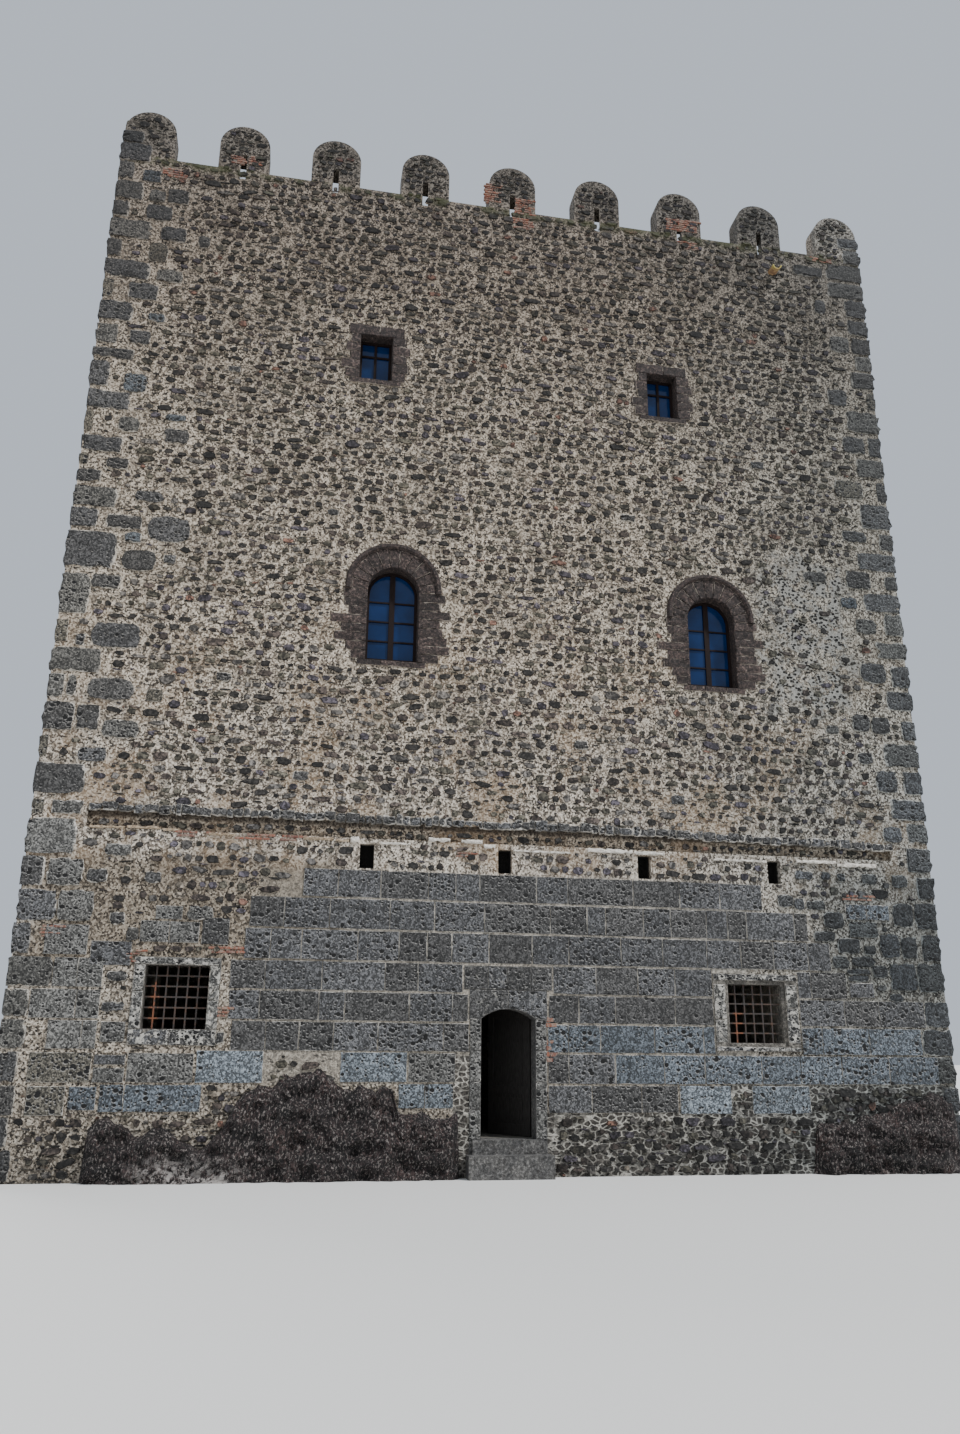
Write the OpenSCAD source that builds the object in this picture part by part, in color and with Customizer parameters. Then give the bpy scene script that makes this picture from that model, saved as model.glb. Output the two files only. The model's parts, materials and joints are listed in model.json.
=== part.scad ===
// Castle keep of lava stone: a hollow rectangular tower of three storeys under a crenellated terrace.
// The origin is the centre of the footprint on the ground. The entrance front faces -Y, and +Z is up.

/* [Keep] */
// Width of the entrance front over the corner quoins
keep_w = 17000; // [15000:100:22000]
// Depth from front to back over the corner quoins
keep_d = 8500; // [8000:100:14000]
// How far the corner quoins stand proud of the walls
quoin_proud = 25; // [10:5:60]
// Length of a long quoin, from the corner
quoin_long = 1050; // [700:50:1300]
// Length of a short quoin, from the corner
quoin_short = 640; // [400:20:680]
// Height of one course of quoins
quoin_course_h = 475; // [300:25:600]

/* [Storeys] */
// Height of the entrance floor above the lowest ground
entrance_floor_z = 605; // [450:5:800]
// Top of the ground storey's walls
ground_top_z = 7700; // [7000:50:8000]
// Top of the first storey's walls
first_top_z = 13900; // [13000:50:14300]
// Top of the second storey's walls
second_top_z = 19000; // [17500:50:19200]
// Thickness of the upper floors
floor_t = 300; // [200:10:450]
// Thickness of the terrace slab
terrace_t = 400; // [250:10:500]
// Gap between an upper floor and the walls around it
floor_gap = 10; // [5:1:20]

/* [Walls] */
// Wall thickness at the ground
ground_wall_t = 1900; // [1600:50:2200]
// Wall thickness on the first storey
first_wall_t = 1600; // [1300:50:1800]
// Wall thickness on the second storey
second_wall_t = 1300; // [1000:50:1500]
// How much wider an embrasure is on each side indoors
splay = 350; // [100:10:450]
// Step behind a window surround, on each side
rebate = 80; // [30:5:120]
// Clearance round a piece that is seated in the wall
seat_gap = 0.3; // [0.1:0.1:1]

/* [Battlements] */
// Height of the parapet between the merlons, above the storey walls
parapet_h = 1170; // [900:10:1400]
// Thickness of the parapet and merlons
parapet_t = 420; // [350:10:600]
// Width of a merlon
merlon_w = 1066; // [850:2:1200]
// Straight height of a merlon below its round head
merlon_rise = 660; // [400:10:900]
// Number of merlons along the front, corners included
front_merlons_n = 9; // [7:1:9]
// Number of merlons along a short side, corners included
side_merlons_n = 5; // [4:1:5]
// Width of a loop at the outer face
loop_w = 120; // [80:10:200]
// Widening of a loop on each side at the inner face
loop_splay = 130; // [60:10:200]
// Height of a loop
loop_h = 650; // [400:10:750]
// How far a loop reaches below the top of the parapet
loop_drop = 220; // [100:10:300]

/* [Arched windows] */
// Place of the left arched window across the front
arched_left_u = -2380; // [-3200:10:-1800]
// Place of the right arched window across the front
arched_right_u = 4160; // [3600:10:5000]
// Sill height of the left arched window
arched_left_sill_z = 9140; // [8800:10:9500]
// Sill height of the right arched window
arched_right_sill_z = 9080; // [8800:10:9500]
// Clear width of an arched window
arched_w = 1000; // [800:10:1200]
// Height from the sill to the springing
arched_rise = 1440; // [1200:10:1700]
// Radius of the voussoir ring
ring_r = 825; // [760:5:840]
// Radius of the hood mould
hood_r = 940; // [880:5:1000]
// How far the hood mould stands proud of the wall
hood_proud = 70; // [30:5:110]
// How far the ring's centre lies above the springing
ring_lift = 75; // [0:5:120]
// Number of voussoirs in the ring
voussoirs = 11; // [7:2:15]
// Height of the sill stone
arched_sill_h = 110; // [80:5:180]

/* [Square windows] */
// Place of the left square window across the front
square_left_u = -2915; // [-3600:5:-2300]
// Place of the right square window across the front
square_right_u = 3345; // [2800:5:4000]
// Sill height of the left square window
square_left_sill_z = 15320; // [15000:10:15600]
// Sill height of the right square window
square_right_sill_z = 15220; // [15000:10:15600]
// Clear width of a square window
square_w = 670; // [550:10:850]
// Clear height of a square window
square_h = 1065; // [900:5:1300]
// Height of the lintel stone
square_lintel_h = 230; // [150:10:320]
// Height of the sill stone
square_sill_h = 110; // [80:5:180]
// Height above the sill of the transom between the panes
square_transom_z = 690; // [560:10:780]

/* [Barred windows] */
// Place of the left barred window across the front
barred_left_u = -5800; // [-6200:10:-5400]
// Place of the right barred window across the front
barred_right_u = 4595; // [4200:5:5000]
// Sill height of the left barred window
barred_left_sill_z = 2350; // [2000:10:2700]
// Sill height of the right barred window
barred_right_sill_z = 2220; // [2000:10:2700]
// Clear width of a barred window
barred_w = 1050; // [800:10:1200]
// Clear height of a barred window
barred_h = 1040; // [800:10:1200]
// Width of the left frame's sides
plain_frame_side = 190; // [140:10:260]
// Width of the right frame's sides
moulded_frame_side = 300; // [240:10:360]
// Thickness of a grille bar
bar_t = 26; // [16:1:36]
// Number of bars each way in a grille
bars_n = 5; // [4:1:6]
// Depth of the grille behind the wall face
grille_depth = 130; // [80:10:180]

/* [Frames and glass] */
// Depth of the window stones from the wall face
surround_depth = 350; // [320:10:450]
// Depth of a wooden frame behind the wall face
frame_depth = 240; // [180:10:240]
// Thickness of a wooden frame from front to back
frame_t = 70; // [60:5:75]
// Face width of a frame
frame_face = 55; // [40:5:80]
// Width of the two stiles that meet in the middle
meeting_w = 105; // [80:5:140]
// Width of a glazing bar
glazing_bar_w = 30; // [20:2:40]
// Thickness of the glass
glass_t = 6; // [4:1:10]

/* [Doorway] */
// Place of the doorway across the front
door_u = -87; // [-400:1:400]
// Clear width of the doorway
door_w = 975; // [900:5:1100]
// Height of the arch's springing
door_spring_z = 2585; // [2400:5:2700]
// Rise of the segmental arch
door_arch_rise = 170; // [100:5:220]
// Width of a jamb stone
door_jamb_w = 200; // [150:10:280]
// Depth of the stones in front of the leaf
door_reveal = 350; // [300:10:420]
// Height of the lintel stones from the springing
door_lintel_h = 495; // [400:5:600]
// Height of the four blocks over the lintel
door_block_h = 410; // [300:10:450]
// Height of the passage behind the leaf
passage_top_z = 2950; // [2900:10:3050]
// How far the step reaches out from the wall
step_out = 330; // [200:10:500]
// Top of the step
step_top_z = 370; // [250:10:420]

/* [Door leaf] */
// Thickness of the leaf
leaf_t = 60; // [45:1:70]
// How far the leaf covers the jambs and lintel behind the reveal
leaf_lap = 45; // [30:1:60]
// Clearance between the leaf and the stones
leaf_gap = 8; // [6:1:12]
// Opening angle of the leaf at rest
leaf_open = 57; // [0:1:90]
// Radius of the hinge pin
pin_r = 10; // [8:1:14]
// Wall of the eye on the strap
eye_wall = 9; // [7:1:12]
// Height of the eye
eye_h = 60; // [40:5:90]
// Length of a strap
strap_len = 780; // [500:10:900]
// Width of a strap
strap_w = 50; // [35:5:70]
// Thickness of a strap
strap_t = 8; // [5:1:12]
// Height of the lower eye above the leaf's foot
eye_low_rise = 330; // [200:10:500]
// Drop of the upper eye below the leaf's top
eye_top_drop = 400; // [250:10:600]
// Height of the middle rail above the leaf's foot
mid_rail_rise = 760; // [600:10:1000]

/* [Put-log holes and chase] */
// Width of a beam hole
beam_hole_w = 260; // [200:10:320]
// Height of a beam hole
beam_hole_h = 440; // [300:10:500]
// Depth of a beam hole
beam_hole_depth = 320; // [150:10:450]
// Bottom of the beam holes
beam_hole_z = 5150; // [4900:10:5300]
// Bottom of the chase
chase_z = 5690; // [5650:5:5800]
// Height of the chase
chase_h = 310; // [150:10:400]
// Depth of the chase
chase_depth = 90; // [40:5:150]

/* [Spout and rock] */
// Distance of the spout from the right end of the front
spout_inset = 2280; // [2100:10:2500]
// Outer radius of the spout
spout_r = 105; // [70:5:130]
// Thickness of the spout
spout_wall = 20; // [12:1:30]
// How far the spout reaches out from the wall
spout_out = 290; // [150:10:400]
// How far the rock reaches out at the ground
rock_out = 360; // [200:10:500]

/* [Hidden] */
$fn = 96;

// Sides are counted round the keep from the front
FRONT = 0;
RIGHT = 1;
BACK = 2;
LEFT = 3;

// Plan size of the wall faces, inside the quoins
wall_w = keep_w - 2 * quoin_proud;
wall_d = keep_d - 2 * quoin_proud;
// A cut runs past the faces that it opens by this much
over = 50;
crenel_z = second_top_z + parapet_h;
spout_u = keep_w / 2 - spout_inset;

// Lengths of the jamb stones of an arched window, from the springing down
arched_left_teeth = [470, 450, 360, 690, 470, 580, 390, 290];
arched_right_teeth = [510, 430, 620, 420, 470, 550, 620, 380];
arched_tooth_h = arched_rise / len(arched_left_teeth);
arched_sill_lap = 140;
// Lengths of the jamb stones of a square window, from the lintel down
square_left_teeth = [190, 280, 210, 370, 290];
square_right_teeth = [290, 370, 300, 350, 270];
square_tooth_h = square_h / len(square_left_teeth);
square_lintel_lap = 240;
square_sill_lap = 190;
ring_proud = 12;
joint_w = 10;
joint_depth = 14;

// Top and sill stones of the two kinds of barred window frame
plain_frame_top = 130;
plain_frame_sill = 260;
moulded_frame_top = 190;
moulded_frame_sill = 150;
frame_proud = 15;
moulding_w = 60;
moulding_depth = 45;

// Places of the beam holes across the front
beam_holes_u = [-2690, -150, 2535, 5150];
chase_left_u = -7555;
chase_right_u = 7650;

// The leaf's hinge axis, behind the jamb and a little off the leaf's inner face
eye_r = pin_r + seat_gap + eye_wall;
leaf_front_w = door_reveal + leaf_gap;
hinge_w = leaf_front_w + leaf_t + eye_r;
hinge_u = door_w / 2 + leaf_lap + eye_r;
leaf_foot_z = entrance_floor_z + leaf_gap;
leaf_top_z = door_spring_z + door_arch_rise + leaf_lap;
eye_zs = [leaf_foot_z + eye_low_rise, leaf_top_z - eye_top_drop];
stile_w = 130;
field_margin = 65;
mid_rail_z = leaf_foot_z + mid_rail_rise;
leaf_panels = [
    [leaf_foot_z + 190, mid_rail_z - stile_w / 2], [mid_rail_z + stile_w / 2, leaf_top_z - stile_w - 40]
];
jamb_courses = [0.24, 0.47, 0.73];
block_joints = [0.27, 0.49, 0.76];
passage_half = door_w / 2 + leaf_lap + 2 * eye_r + 16;
passage_splay = 210;

// Rock outline at the foot of the front, as height against place
rock_left = [[-7020, 0], [-6980, 880], [-6480, 950], [-5260, 870], [-4440, 1390], [-3880, 1720],
    [-3070, 1500], [-2080, 1480], [-2020, 1070], [-950, 1050], [-930, 0]];
rock_right = [[5490, 0], [5580, 730], [6490, 960], [7860, 1290], [8350, 1230], [8380, 0]];
rock_top_z = 1750;
rock_top_out = 90;

function side_len(side) = side % 2 == 0 ? wall_w : wall_d;
// Windows on one side, each as place and sill height
function arched_at(side) = side % 2 == 0
    ? [[arched_left_u, arched_left_sill_z], [arched_right_u, arched_right_sill_z]]
    : [[0, arched_left_sill_z]];
function square_at(side) = side % 2 == 0
    ? [[square_left_u, square_left_sill_z], [square_right_u, square_right_sill_z]]
    : [[0, square_left_sill_z]];
function barred_at(side) = side % 2 == 0
    ? [[barred_left_u, barred_left_sill_z, false], [barred_right_u, barred_right_sill_z, true]]
    : [[0, barred_left_sill_z, false]];

// Puts a shape drawn on the front onto a side: x across, y into the wall from its face, z up
module on_side(side)
    rotate([0, 0, 90 * side])
        translate([0, -side_len(side + 1) / 2, 0])
            children();

// Extrudes an outline drawn across and up through the wall's depth
module in_depth(from, to)
    translate([0, to, 0])
        rotate([90, 0, 0])
            linear_extrude(to - from)
                children();

module box_between(low, high)
    translate(low)
        cube(high - low);

// An embrasure's plan, narrow behind the window stones and wide indoors
module embrasure(half_w, wall_t, z_low, z_high)
    translate([0, 0, z_low])
        linear_extrude(z_high - z_low)
            polygon([
                [-half_w - rebate, surround_depth], [half_w + rebate, surround_depth],
                [half_w + splay, wall_t + 0.01], [half_w + splay, wall_t + over],
                [-half_w - splay, wall_t + over], [-half_w - splay, wall_t + 0.01]
            ]);

module arch_outline(half_w, rise) {
    translate([-half_w, 0])
        square([2 * half_w, rise]);
    translate([0, rise])
        circle(half_w);
}

// Toothed jamb stones down both sides of an opening, from its top
module toothed_jambs(half_w, top, left, right, tooth_h, grow) {
    for (i = [0:len(left) - 1])
        translate([-half_w - left[i] - grow, top - (i + 1) * tooth_h - grow])
            square([2 * half_w + left[i] + right[i] + 2 * grow, tooth_h + 2 * grow]);
}

module arched_surround_outline(grow) {
    translate([0, arched_rise + ring_lift])
        circle(hood_r + grow);
    translate([-hood_r - grow, arched_rise - grow])
        square([2 * (hood_r + grow), ring_lift + grow]);
    toothed_jambs(arched_w / 2, arched_rise, arched_left_teeth, arched_right_teeth,
        arched_tooth_h, grow);
    translate([-arched_w / 2 - arched_sill_lap - grow, -arched_sill_h - grow])
        square([arched_w + 2 * (arched_sill_lap + grow), arched_sill_h + 2 * grow]);
}

// Section of the hood mould, across the ring and out from the wall face
module hood_section() {
    hood_band = hood_r - ring_r;
    polygon([
        [ring_r, over], [ring_r, -ring_proud - 15], [ring_r + hood_band * 0.3, -hood_proud],
        [hood_r - hood_band * 0.25, -hood_proud], [hood_r, -hood_proud * 0.45], [hood_r, over]
    ]);
}

module arched_surround() {
    difference() {
        union() {
            in_depth(0, surround_depth)
                arched_surround_outline(0);
            // Ring of voussoirs, a little proud of the wall
            in_depth(-ring_proud, over) {
                translate([0, arched_rise + ring_lift])
                    circle(ring_r);
                translate([-ring_r, arched_rise])
                    square([2 * ring_r, ring_lift]);
            }
            // Hood mould round the ring, stilted down to the springing
            translate([0, 0, arched_rise + ring_lift]) {
                rotate([-90, 0, 0])
                    rotate_extrude(angle = -180)
                        hood_section();
                for (m = [0, 1])
                    mirror([m, 0, 0])
                        translate([0, 0, -ring_lift])
                            linear_extrude(ring_lift)
                                hood_section();
            }
        }
        in_depth(-2 * hood_proud, surround_depth + over)
            arch_outline(arched_w / 2, arched_rise);
        // Joints between the voussoirs
        for (i = [1:voussoirs - 1])
            translate([0, 0, arched_rise])
                rotate([0, 90 - 180 * i / voussoirs, 0])
                    box_between(
                        [-joint_w / 2, -ring_proud - 1, arched_w / 4],
                        [joint_w / 2, joint_depth - ring_proud, ring_r - joint_w]
                    );
    }
}

module square_surround_outline(grow) {
    half_w = square_w / 2;
    translate([-half_w - square_lintel_lap - grow, square_h - grow])
        square([square_w + 2 * (square_lintel_lap + grow), square_lintel_h + 2 * grow]);
    toothed_jambs(half_w, square_h, square_left_teeth, square_right_teeth, square_tooth_h, grow);
    translate([-half_w - square_sill_lap - grow, -square_sill_h - grow])
        square([square_w + 2 * (square_sill_lap + grow), square_sill_h + 2 * grow]);
}

module square_surround() {
    difference() {
        in_depth(-ring_proud, surround_depth)
            square_surround_outline(0);
        in_depth(-over, surround_depth + over)
            translate([-square_w / 2, 0])
                square([square_w, square_h]);
    }
}

module barred_frame_outline(moulded) {
    side_w = moulded ? moulded_frame_side : plain_frame_side;
    top_h = moulded ? moulded_frame_top : plain_frame_top;
    sill_h = moulded ? moulded_frame_sill : plain_frame_sill;
    translate([-barred_w / 2 - side_w, -sill_h])
        square([barred_w + 2 * side_w, sill_h + barred_h + top_h]);
}

module barred_opening(grow)
    translate([-barred_w / 2 - grow, -grow])
        square([barred_w + 2 * grow, barred_h + 2 * grow]);

module barred_frame(moulded) {
    difference() {
        in_depth(-frame_proud, surround_depth)
            barred_frame_outline(moulded);
        in_depth(-over, surround_depth + over)
            barred_opening(0);
        // Sunk moulding round the opening
        if (moulded)
            in_depth(-over, moulding_depth - frame_proud)
                barred_opening(moulding_w);
    }
}

// Cuts for the windows of one storey on one side
module arched_cuts(side)
    for (window = arched_at(side))
        translate([window[0], 0, window[1]]) {
            in_depth(-over, surround_depth)
                arched_surround_outline(seat_gap);
            intersection() {
                embrasure(arched_w / 2, first_wall_t, 0, 2 * arched_rise);
                in_depth(surround_depth, first_wall_t + over)
                    arch_outline(arched_w / 2 + splay + rebate, arched_rise);
            }
        }

module square_cuts(side)
    for (window = square_at(side))
        translate([window[0], 0, window[1]]) {
            in_depth(-over, surround_depth)
                square_surround_outline(seat_gap);
            embrasure(square_w / 2, second_wall_t, 0, square_h + rebate);
        }

module barred_cuts(side)
    for (window = barred_at(side))
        translate([window[0], 0, window[1]]) {
            in_depth(-over, surround_depth)
                barred_frame_outline(window[2]);
            embrasure(barred_w / 2, ground_wall_t, 0, barred_h + rebate);
        }

module wall_slab(length, wall_t, z_low, z_high)
    box_between([-length / 2, 0, z_low], [length / 2, wall_t, z_high]);

// One storey's wall on a side: the long walls run over the ends of the short ones
module storey_wall(side, wall_t, z_low, z_high) {
    length = side % 2 == 0 ? wall_w : wall_d - 2 * wall_t;
    on_side(side)
        difference() {
            wall_slab(length, wall_t, z_low, z_high);
            children();
        }
}

module doorway_plan(grow)
    polygon([
        [-passage_half + grow, door_reveal], [passage_half - grow, door_reveal],
        [passage_half + passage_splay - grow, ground_wall_t],
        [-passage_half - passage_splay + grow, ground_wall_t]
    ]);

door_stones_half = door_w / 2 + door_jamb_w;
lintel_half = door_stones_half + 15;
block_row_half = lintel_half + 95;
over_door_half = max(passage_half + passage_splay, block_row_half);

// The doorway's hole through the front wall, with the seats of its stones
module doorway_cuts()
    translate([door_u, 0, 0]) {
        box_between([-door_stones_half, -over, -over], [door_stones_half, door_reveal, door_spring_z]);
        in_depth(-over, door_reveal)
            lintel_outline();
        translate([0, 0, -over])
            linear_extrude(passage_top_z + over)
                union() {
                    doorway_plan(0);
                    translate([-passage_half - passage_splay, ground_wall_t - 0.01])
                        square([2 * (passage_half + passage_splay), over]);
                }
    }

module lintel_outline() {
    translate([-lintel_half, door_spring_z])
        square([2 * lintel_half, door_lintel_h + 0.01]);
    translate([-block_row_half, door_spring_z + door_lintel_h])
        square([2 * block_row_half, door_block_h]);
}

module beam_hole_and_chase_cuts() {
    for (u = beam_holes_u)
        box_between([u - beam_hole_w / 2, -over, beam_hole_z],
            [u + beam_hole_w / 2, beam_hole_depth, beam_hole_z + beam_hole_h]);
    box_between([chase_left_u, -over, chase_z], [chase_right_u, chase_depth, chase_z + chase_h]);
}

module front_ground_wall_part(u_low, u_high, z_low) {
    color("#8d8278")
        on_side(FRONT)
            difference() {
                box_between([u_low, 0, z_low], [u_high, ground_wall_t, ground_top_z]);
                doorway_cuts();
                beam_hole_and_chase_cuts();
                children();
            }
}

module over_door_space()
    box_between([door_u - over_door_half, -over, passage_top_z],
        [door_u + over_door_half, ground_wall_t + over, ground_top_z + over]);

module front_ground_wall_left()
    front_ground_wall_part(-wall_w / 2, door_u, 0) {
        over_door_space();
        barred_cuts(FRONT);
    }

module front_ground_wall_right()
    front_ground_wall_part(door_u, wall_w / 2, 0) {
        over_door_space();
        barred_cuts(FRONT);
    }

module front_wall_over_door()
    front_ground_wall_part(door_u - over_door_half, door_u + over_door_half, passage_top_z);

module ground_wall(side)
    color("#8d8278")
        storey_wall(side, ground_wall_t, 0, ground_top_z)
            barred_cuts(side);

module first_storey_wall(side)
    color("#a0968b")
        storey_wall(side, first_wall_t, ground_top_z, first_top_z)
            arched_cuts(side);

module second_storey_wall(side)
    color("#958b80")
        storey_wall(side, second_wall_t, first_top_z, second_top_z)
            square_cuts(side);

module front_first_storey_wall() first_storey_wall(FRONT);
module front_second_storey_wall() second_storey_wall(FRONT);
module back_ground_wall() ground_wall(BACK);
module back_first_storey_wall() first_storey_wall(BACK);
module back_second_storey_wall() second_storey_wall(BACK);
module left_ground_wall() ground_wall(LEFT);
module left_first_storey_wall() first_storey_wall(LEFT);
module left_second_storey_wall() second_storey_wall(LEFT);
module right_ground_wall() ground_wall(RIGHT);
module right_first_storey_wall() first_storey_wall(RIGHT);
module right_second_storey_wall() second_storey_wall(RIGHT);

function merlons_n(side) = side % 2 == 0 ? front_merlons_n : side_merlons_n;
// Place of a merlon: the first and the last end at the corners
function merlon_u(side, i) =
    (i - (merlons_n(side) - 1) / 2) * (side_len(side) - merlon_w) / (merlons_n(side) - 1);

module merlon()
    translate([0, 0, crenel_z])
        in_depth(0, parapet_t)
            intersection() {
                arch_outline(merlon_w / 2, merlon_rise);
                translate([-merlon_w, 0])
                    square([2 * merlon_w, 2 * merlon_w + merlon_rise]);
            }

// A loop, narrow outside and wide inside
module loop_cut()
    translate([0, 0, crenel_z - loop_drop])
        linear_extrude(loop_h)
            polygon([
                [-loop_w / 2, -over], [loop_w / 2, -over], [loop_w / 2, 0],
                [loop_w / 2 + loop_splay, parapet_t], [loop_w / 2 + loop_splay, parapet_t + over],
                [-loop_w / 2 - loop_splay, parapet_t + over], [-loop_w / 2 - loop_splay, parapet_t],
                [-loop_w / 2, 0]
            ]);

module loop_cuts(side)
    for (i = [1:merlons_n(side) - 2])
        translate([merlon_u(side, i), 0, 0])
            loop_cut();

module merlon_row(side)
    color("#7c7168")
        on_side(side)
            for (i = [1:merlons_n(side) - 2])
                translate([merlon_u(side, i), 0, 0])
                    difference() {
                        merlon();
                        loop_cut();
                    }

module parapet(side)
    color("#7c7168")
        storey_wall(side, parapet_t, second_top_z, crenel_z) {
            loop_cuts(side);
            if (side == FRONT)
                spout_place()
                    rotate([90, 0, 0])
                        cylinder(h = 4 * parapet_t, r = spout_r + seat_gap, center = true);
        }

module front_parapet() parapet(FRONT);
module back_parapet() parapet(BACK);
module side_parapets() {
    parapet(LEFT);
    parapet(RIGHT);
}
module front_merlons() merlon_row(FRONT);
module back_merlons() merlon_row(BACK);
module side_merlons() {
    merlon_row(LEFT);
    merlon_row(RIGHT);
}

// Each corner merlon turns the corner: two round heads that meet in a hip
module corner_merlons()
    color("#7c7168")
        for (side = [FRONT, RIGHT, BACK, LEFT])
            union() {
                on_side(side)
                    translate([merlon_u(side, merlons_n(side) - 1), 0, 0])
                        merlon();
                on_side(side + 1)
                    translate([merlon_u(side + 1, 0), 0, 0])
                        merlon();
            }

// Long and short stones by turns up each corner
module corner_quoins()
    color("#4a4746")
        for (side = [FRONT, RIGHT, BACK, LEFT])
            for (i = [0:ceil(second_top_z / quoin_course_h) - 1]) {
                low = i * quoin_course_h;
                high = min(low + quoin_course_h, second_top_z);
                here = i % 2 == 0 ? quoin_long : quoin_short;
                beside = i % 2 == 0 ? quoin_short : quoin_long;
                half = side_len(side) / 2;
                on_side(side)
                    union() {
                        box_between([half - here, -quoin_proud, low], [half + quoin_proud, 0, high]);
                        box_between([half, -quoin_proud, low], [half + quoin_proud, beside, high]);
                    }
            }

module ground_floor()
    color("#6f6a64") {
        inner_w = wall_w - 2 * ground_wall_t;
        inner_d = wall_d - 2 * ground_wall_t;
        union() {
            box_between([-inner_w / 2, -inner_d / 2, 0], [inner_w / 2, inner_d / 2, entrance_floor_z]);
            on_side(FRONT)
                translate([door_u, 0, 0])
                    linear_extrude(entrance_floor_z)
                        doorway_plan(seat_gap);
        }
    }

// A floor that lies on the ledge where the wall gets thinner
module storey_floor(wall_t, z_low, slab_t)
    color("#6b5a48") {
        half_w = wall_w / 2 - wall_t - floor_gap;
        half_d = wall_d / 2 - wall_t - floor_gap;
        box_between([-half_w, -half_d, z_low], [half_w, half_d, z_low + slab_t]);
    }

module first_floor() storey_floor(first_wall_t, ground_top_z, floor_t);
module second_floor() storey_floor(second_wall_t, first_top_z, floor_t);
module roof_terrace() storey_floor(parapet_t, second_top_z, terrace_t);

module arched_window_surrounds()
    color("#5a4541")
        for (side = [FRONT, RIGHT, BACK, LEFT])
            on_side(side)
                for (window = arched_at(side))
                    translate([window[0], 0, window[1]])
                        arched_surround();

module square_window_surrounds()
    color("#5a4541")
        for (side = [FRONT, RIGHT, BACK, LEFT])
            on_side(side)
                for (window = square_at(side))
                    translate([window[0], 0, window[1]])
                        square_surround();

module barred_window_frames()
    color("#57504b")
        for (side = [FRONT, RIGHT, BACK, LEFT])
            on_side(side)
                for (window = barred_at(side))
                    translate([window[0], 0, window[1]])
                        barred_frame(window[2]);

// Casement of an arched window: frame, meeting stiles and three bars
module arched_casement() {
    half_w = arched_w / 2 - seat_gap;
    pane_h = (arched_rise - frame_face) / 3.4;
    bar_depth = frame_depth + frame_t / 2;
    difference() {
        in_depth(frame_depth, frame_depth + frame_t)
            translate([0, seat_gap])
                arch_outline(half_w, arched_rise - seat_gap);
        in_depth(frame_depth - over, frame_depth + frame_t + over)
            translate([0, 2 * frame_face])
                arch_outline(half_w - frame_face, arched_rise - 2 * frame_face);
    }
    intersection() {
        in_depth(frame_depth, bar_depth)
            translate([0, frame_face])
                arch_outline(half_w - frame_face / 2, arched_rise - frame_face);
        union() {
            box_between([-meeting_w / 2, frame_depth, 0],
                [meeting_w / 2, bar_depth, arched_rise + half_w]);
            for (i = [1:3])
                box_between([-half_w, frame_depth + 8, i * pane_h + frame_face],
                    [half_w, bar_depth, i * pane_h + frame_face + glazing_bar_w]);
        }
    }
}

// The sheet of glass behind the bars, inside the frame
module arched_glass()
    in_depth(frame_depth + frame_t / 2, frame_depth + frame_t / 2 + glass_t)
        translate([0, 2 * frame_face + seat_gap])
            arch_outline(arched_w / 2 - frame_face - 2 * seat_gap, arched_rise - 2 * frame_face - seat_gap);

module square_casement() {
    half_w = square_w / 2 - seat_gap;
    bar_depth = frame_depth + frame_t / 2;
    difference() {
        box_between([-half_w, frame_depth, seat_gap],
            [half_w, frame_depth + frame_t, square_h - seat_gap]);
        box_between([-half_w + frame_face, frame_depth - over, 1.5 * frame_face],
            [half_w - frame_face, frame_depth + frame_t + over, square_h - frame_face]);
    }
    box_between([-meeting_w / 4, frame_depth, frame_face],
        [meeting_w / 4, bar_depth, square_h - frame_face / 2]);
    box_between([-half_w + frame_face / 2, frame_depth + 6, square_transom_z],
        [half_w - frame_face / 2, bar_depth, square_transom_z + 1.4 * glazing_bar_w]);
}

module square_glass()
    box_between(
        [-square_w / 2 + frame_face + 2 * seat_gap, frame_depth + frame_t / 2,
            1.5 * frame_face + seat_gap],
        [square_w / 2 - frame_face - 2 * seat_gap, frame_depth + frame_t / 2 + glass_t,
            square_h - frame_face - seat_gap]
    );

module arched_window_casements()
    color("#3b2622")
        for (side = [FRONT, RIGHT, BACK, LEFT])
            on_side(side)
                for (window = arched_at(side))
                    translate([window[0], 0, window[1]])
                        arched_casement();

module square_window_casements()
    color("#3b2622")
        for (side = [FRONT, RIGHT, BACK, LEFT])
            on_side(side)
                for (window = square_at(side))
                    translate([window[0], 0, window[1]])
                        square_casement();

module arched_window_glass()
    color("#31507f")
        for (side = [FRONT, RIGHT, BACK, LEFT])
            on_side(side)
                for (window = arched_at(side))
                    translate([window[0], 0, window[1]])
                        arched_glass();

module square_window_glass()
    color("#31507f")
        for (side = [FRONT, RIGHT, BACK, LEFT])
            on_side(side)
                for (window = square_at(side))
                    translate([window[0], 0, window[1]])
                        square_glass();

// A grille of square bars, welded where they cross and let into the frame
module grille() {
    pitch_u = barred_w / (bars_n + 1);
    pitch_z = barred_h / (bars_n + 1);
    for (i = [1:bars_n]) {
        box_between([-barred_w / 2 + i * pitch_u - bar_t / 2, grille_depth, seat_gap],
            [-barred_w / 2 + i * pitch_u + bar_t / 2, grille_depth + bar_t, barred_h - seat_gap]);
        box_between([-barred_w / 2 + seat_gap, grille_depth, i * pitch_z - bar_t / 2],
            [barred_w / 2 - seat_gap, grille_depth + bar_t, i * pitch_z + bar_t / 2]);
    }
}

module window_grilles()
    color("#3d2f28")
        for (side = [FRONT, RIGHT, BACK, LEFT])
            on_side(side)
                for (window = barred_at(side))
                    translate([window[0], 0, window[1]])
                        grille();

module at_door()
    on_side(FRONT)
        translate([door_u, 0, 0])
            children();

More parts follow.
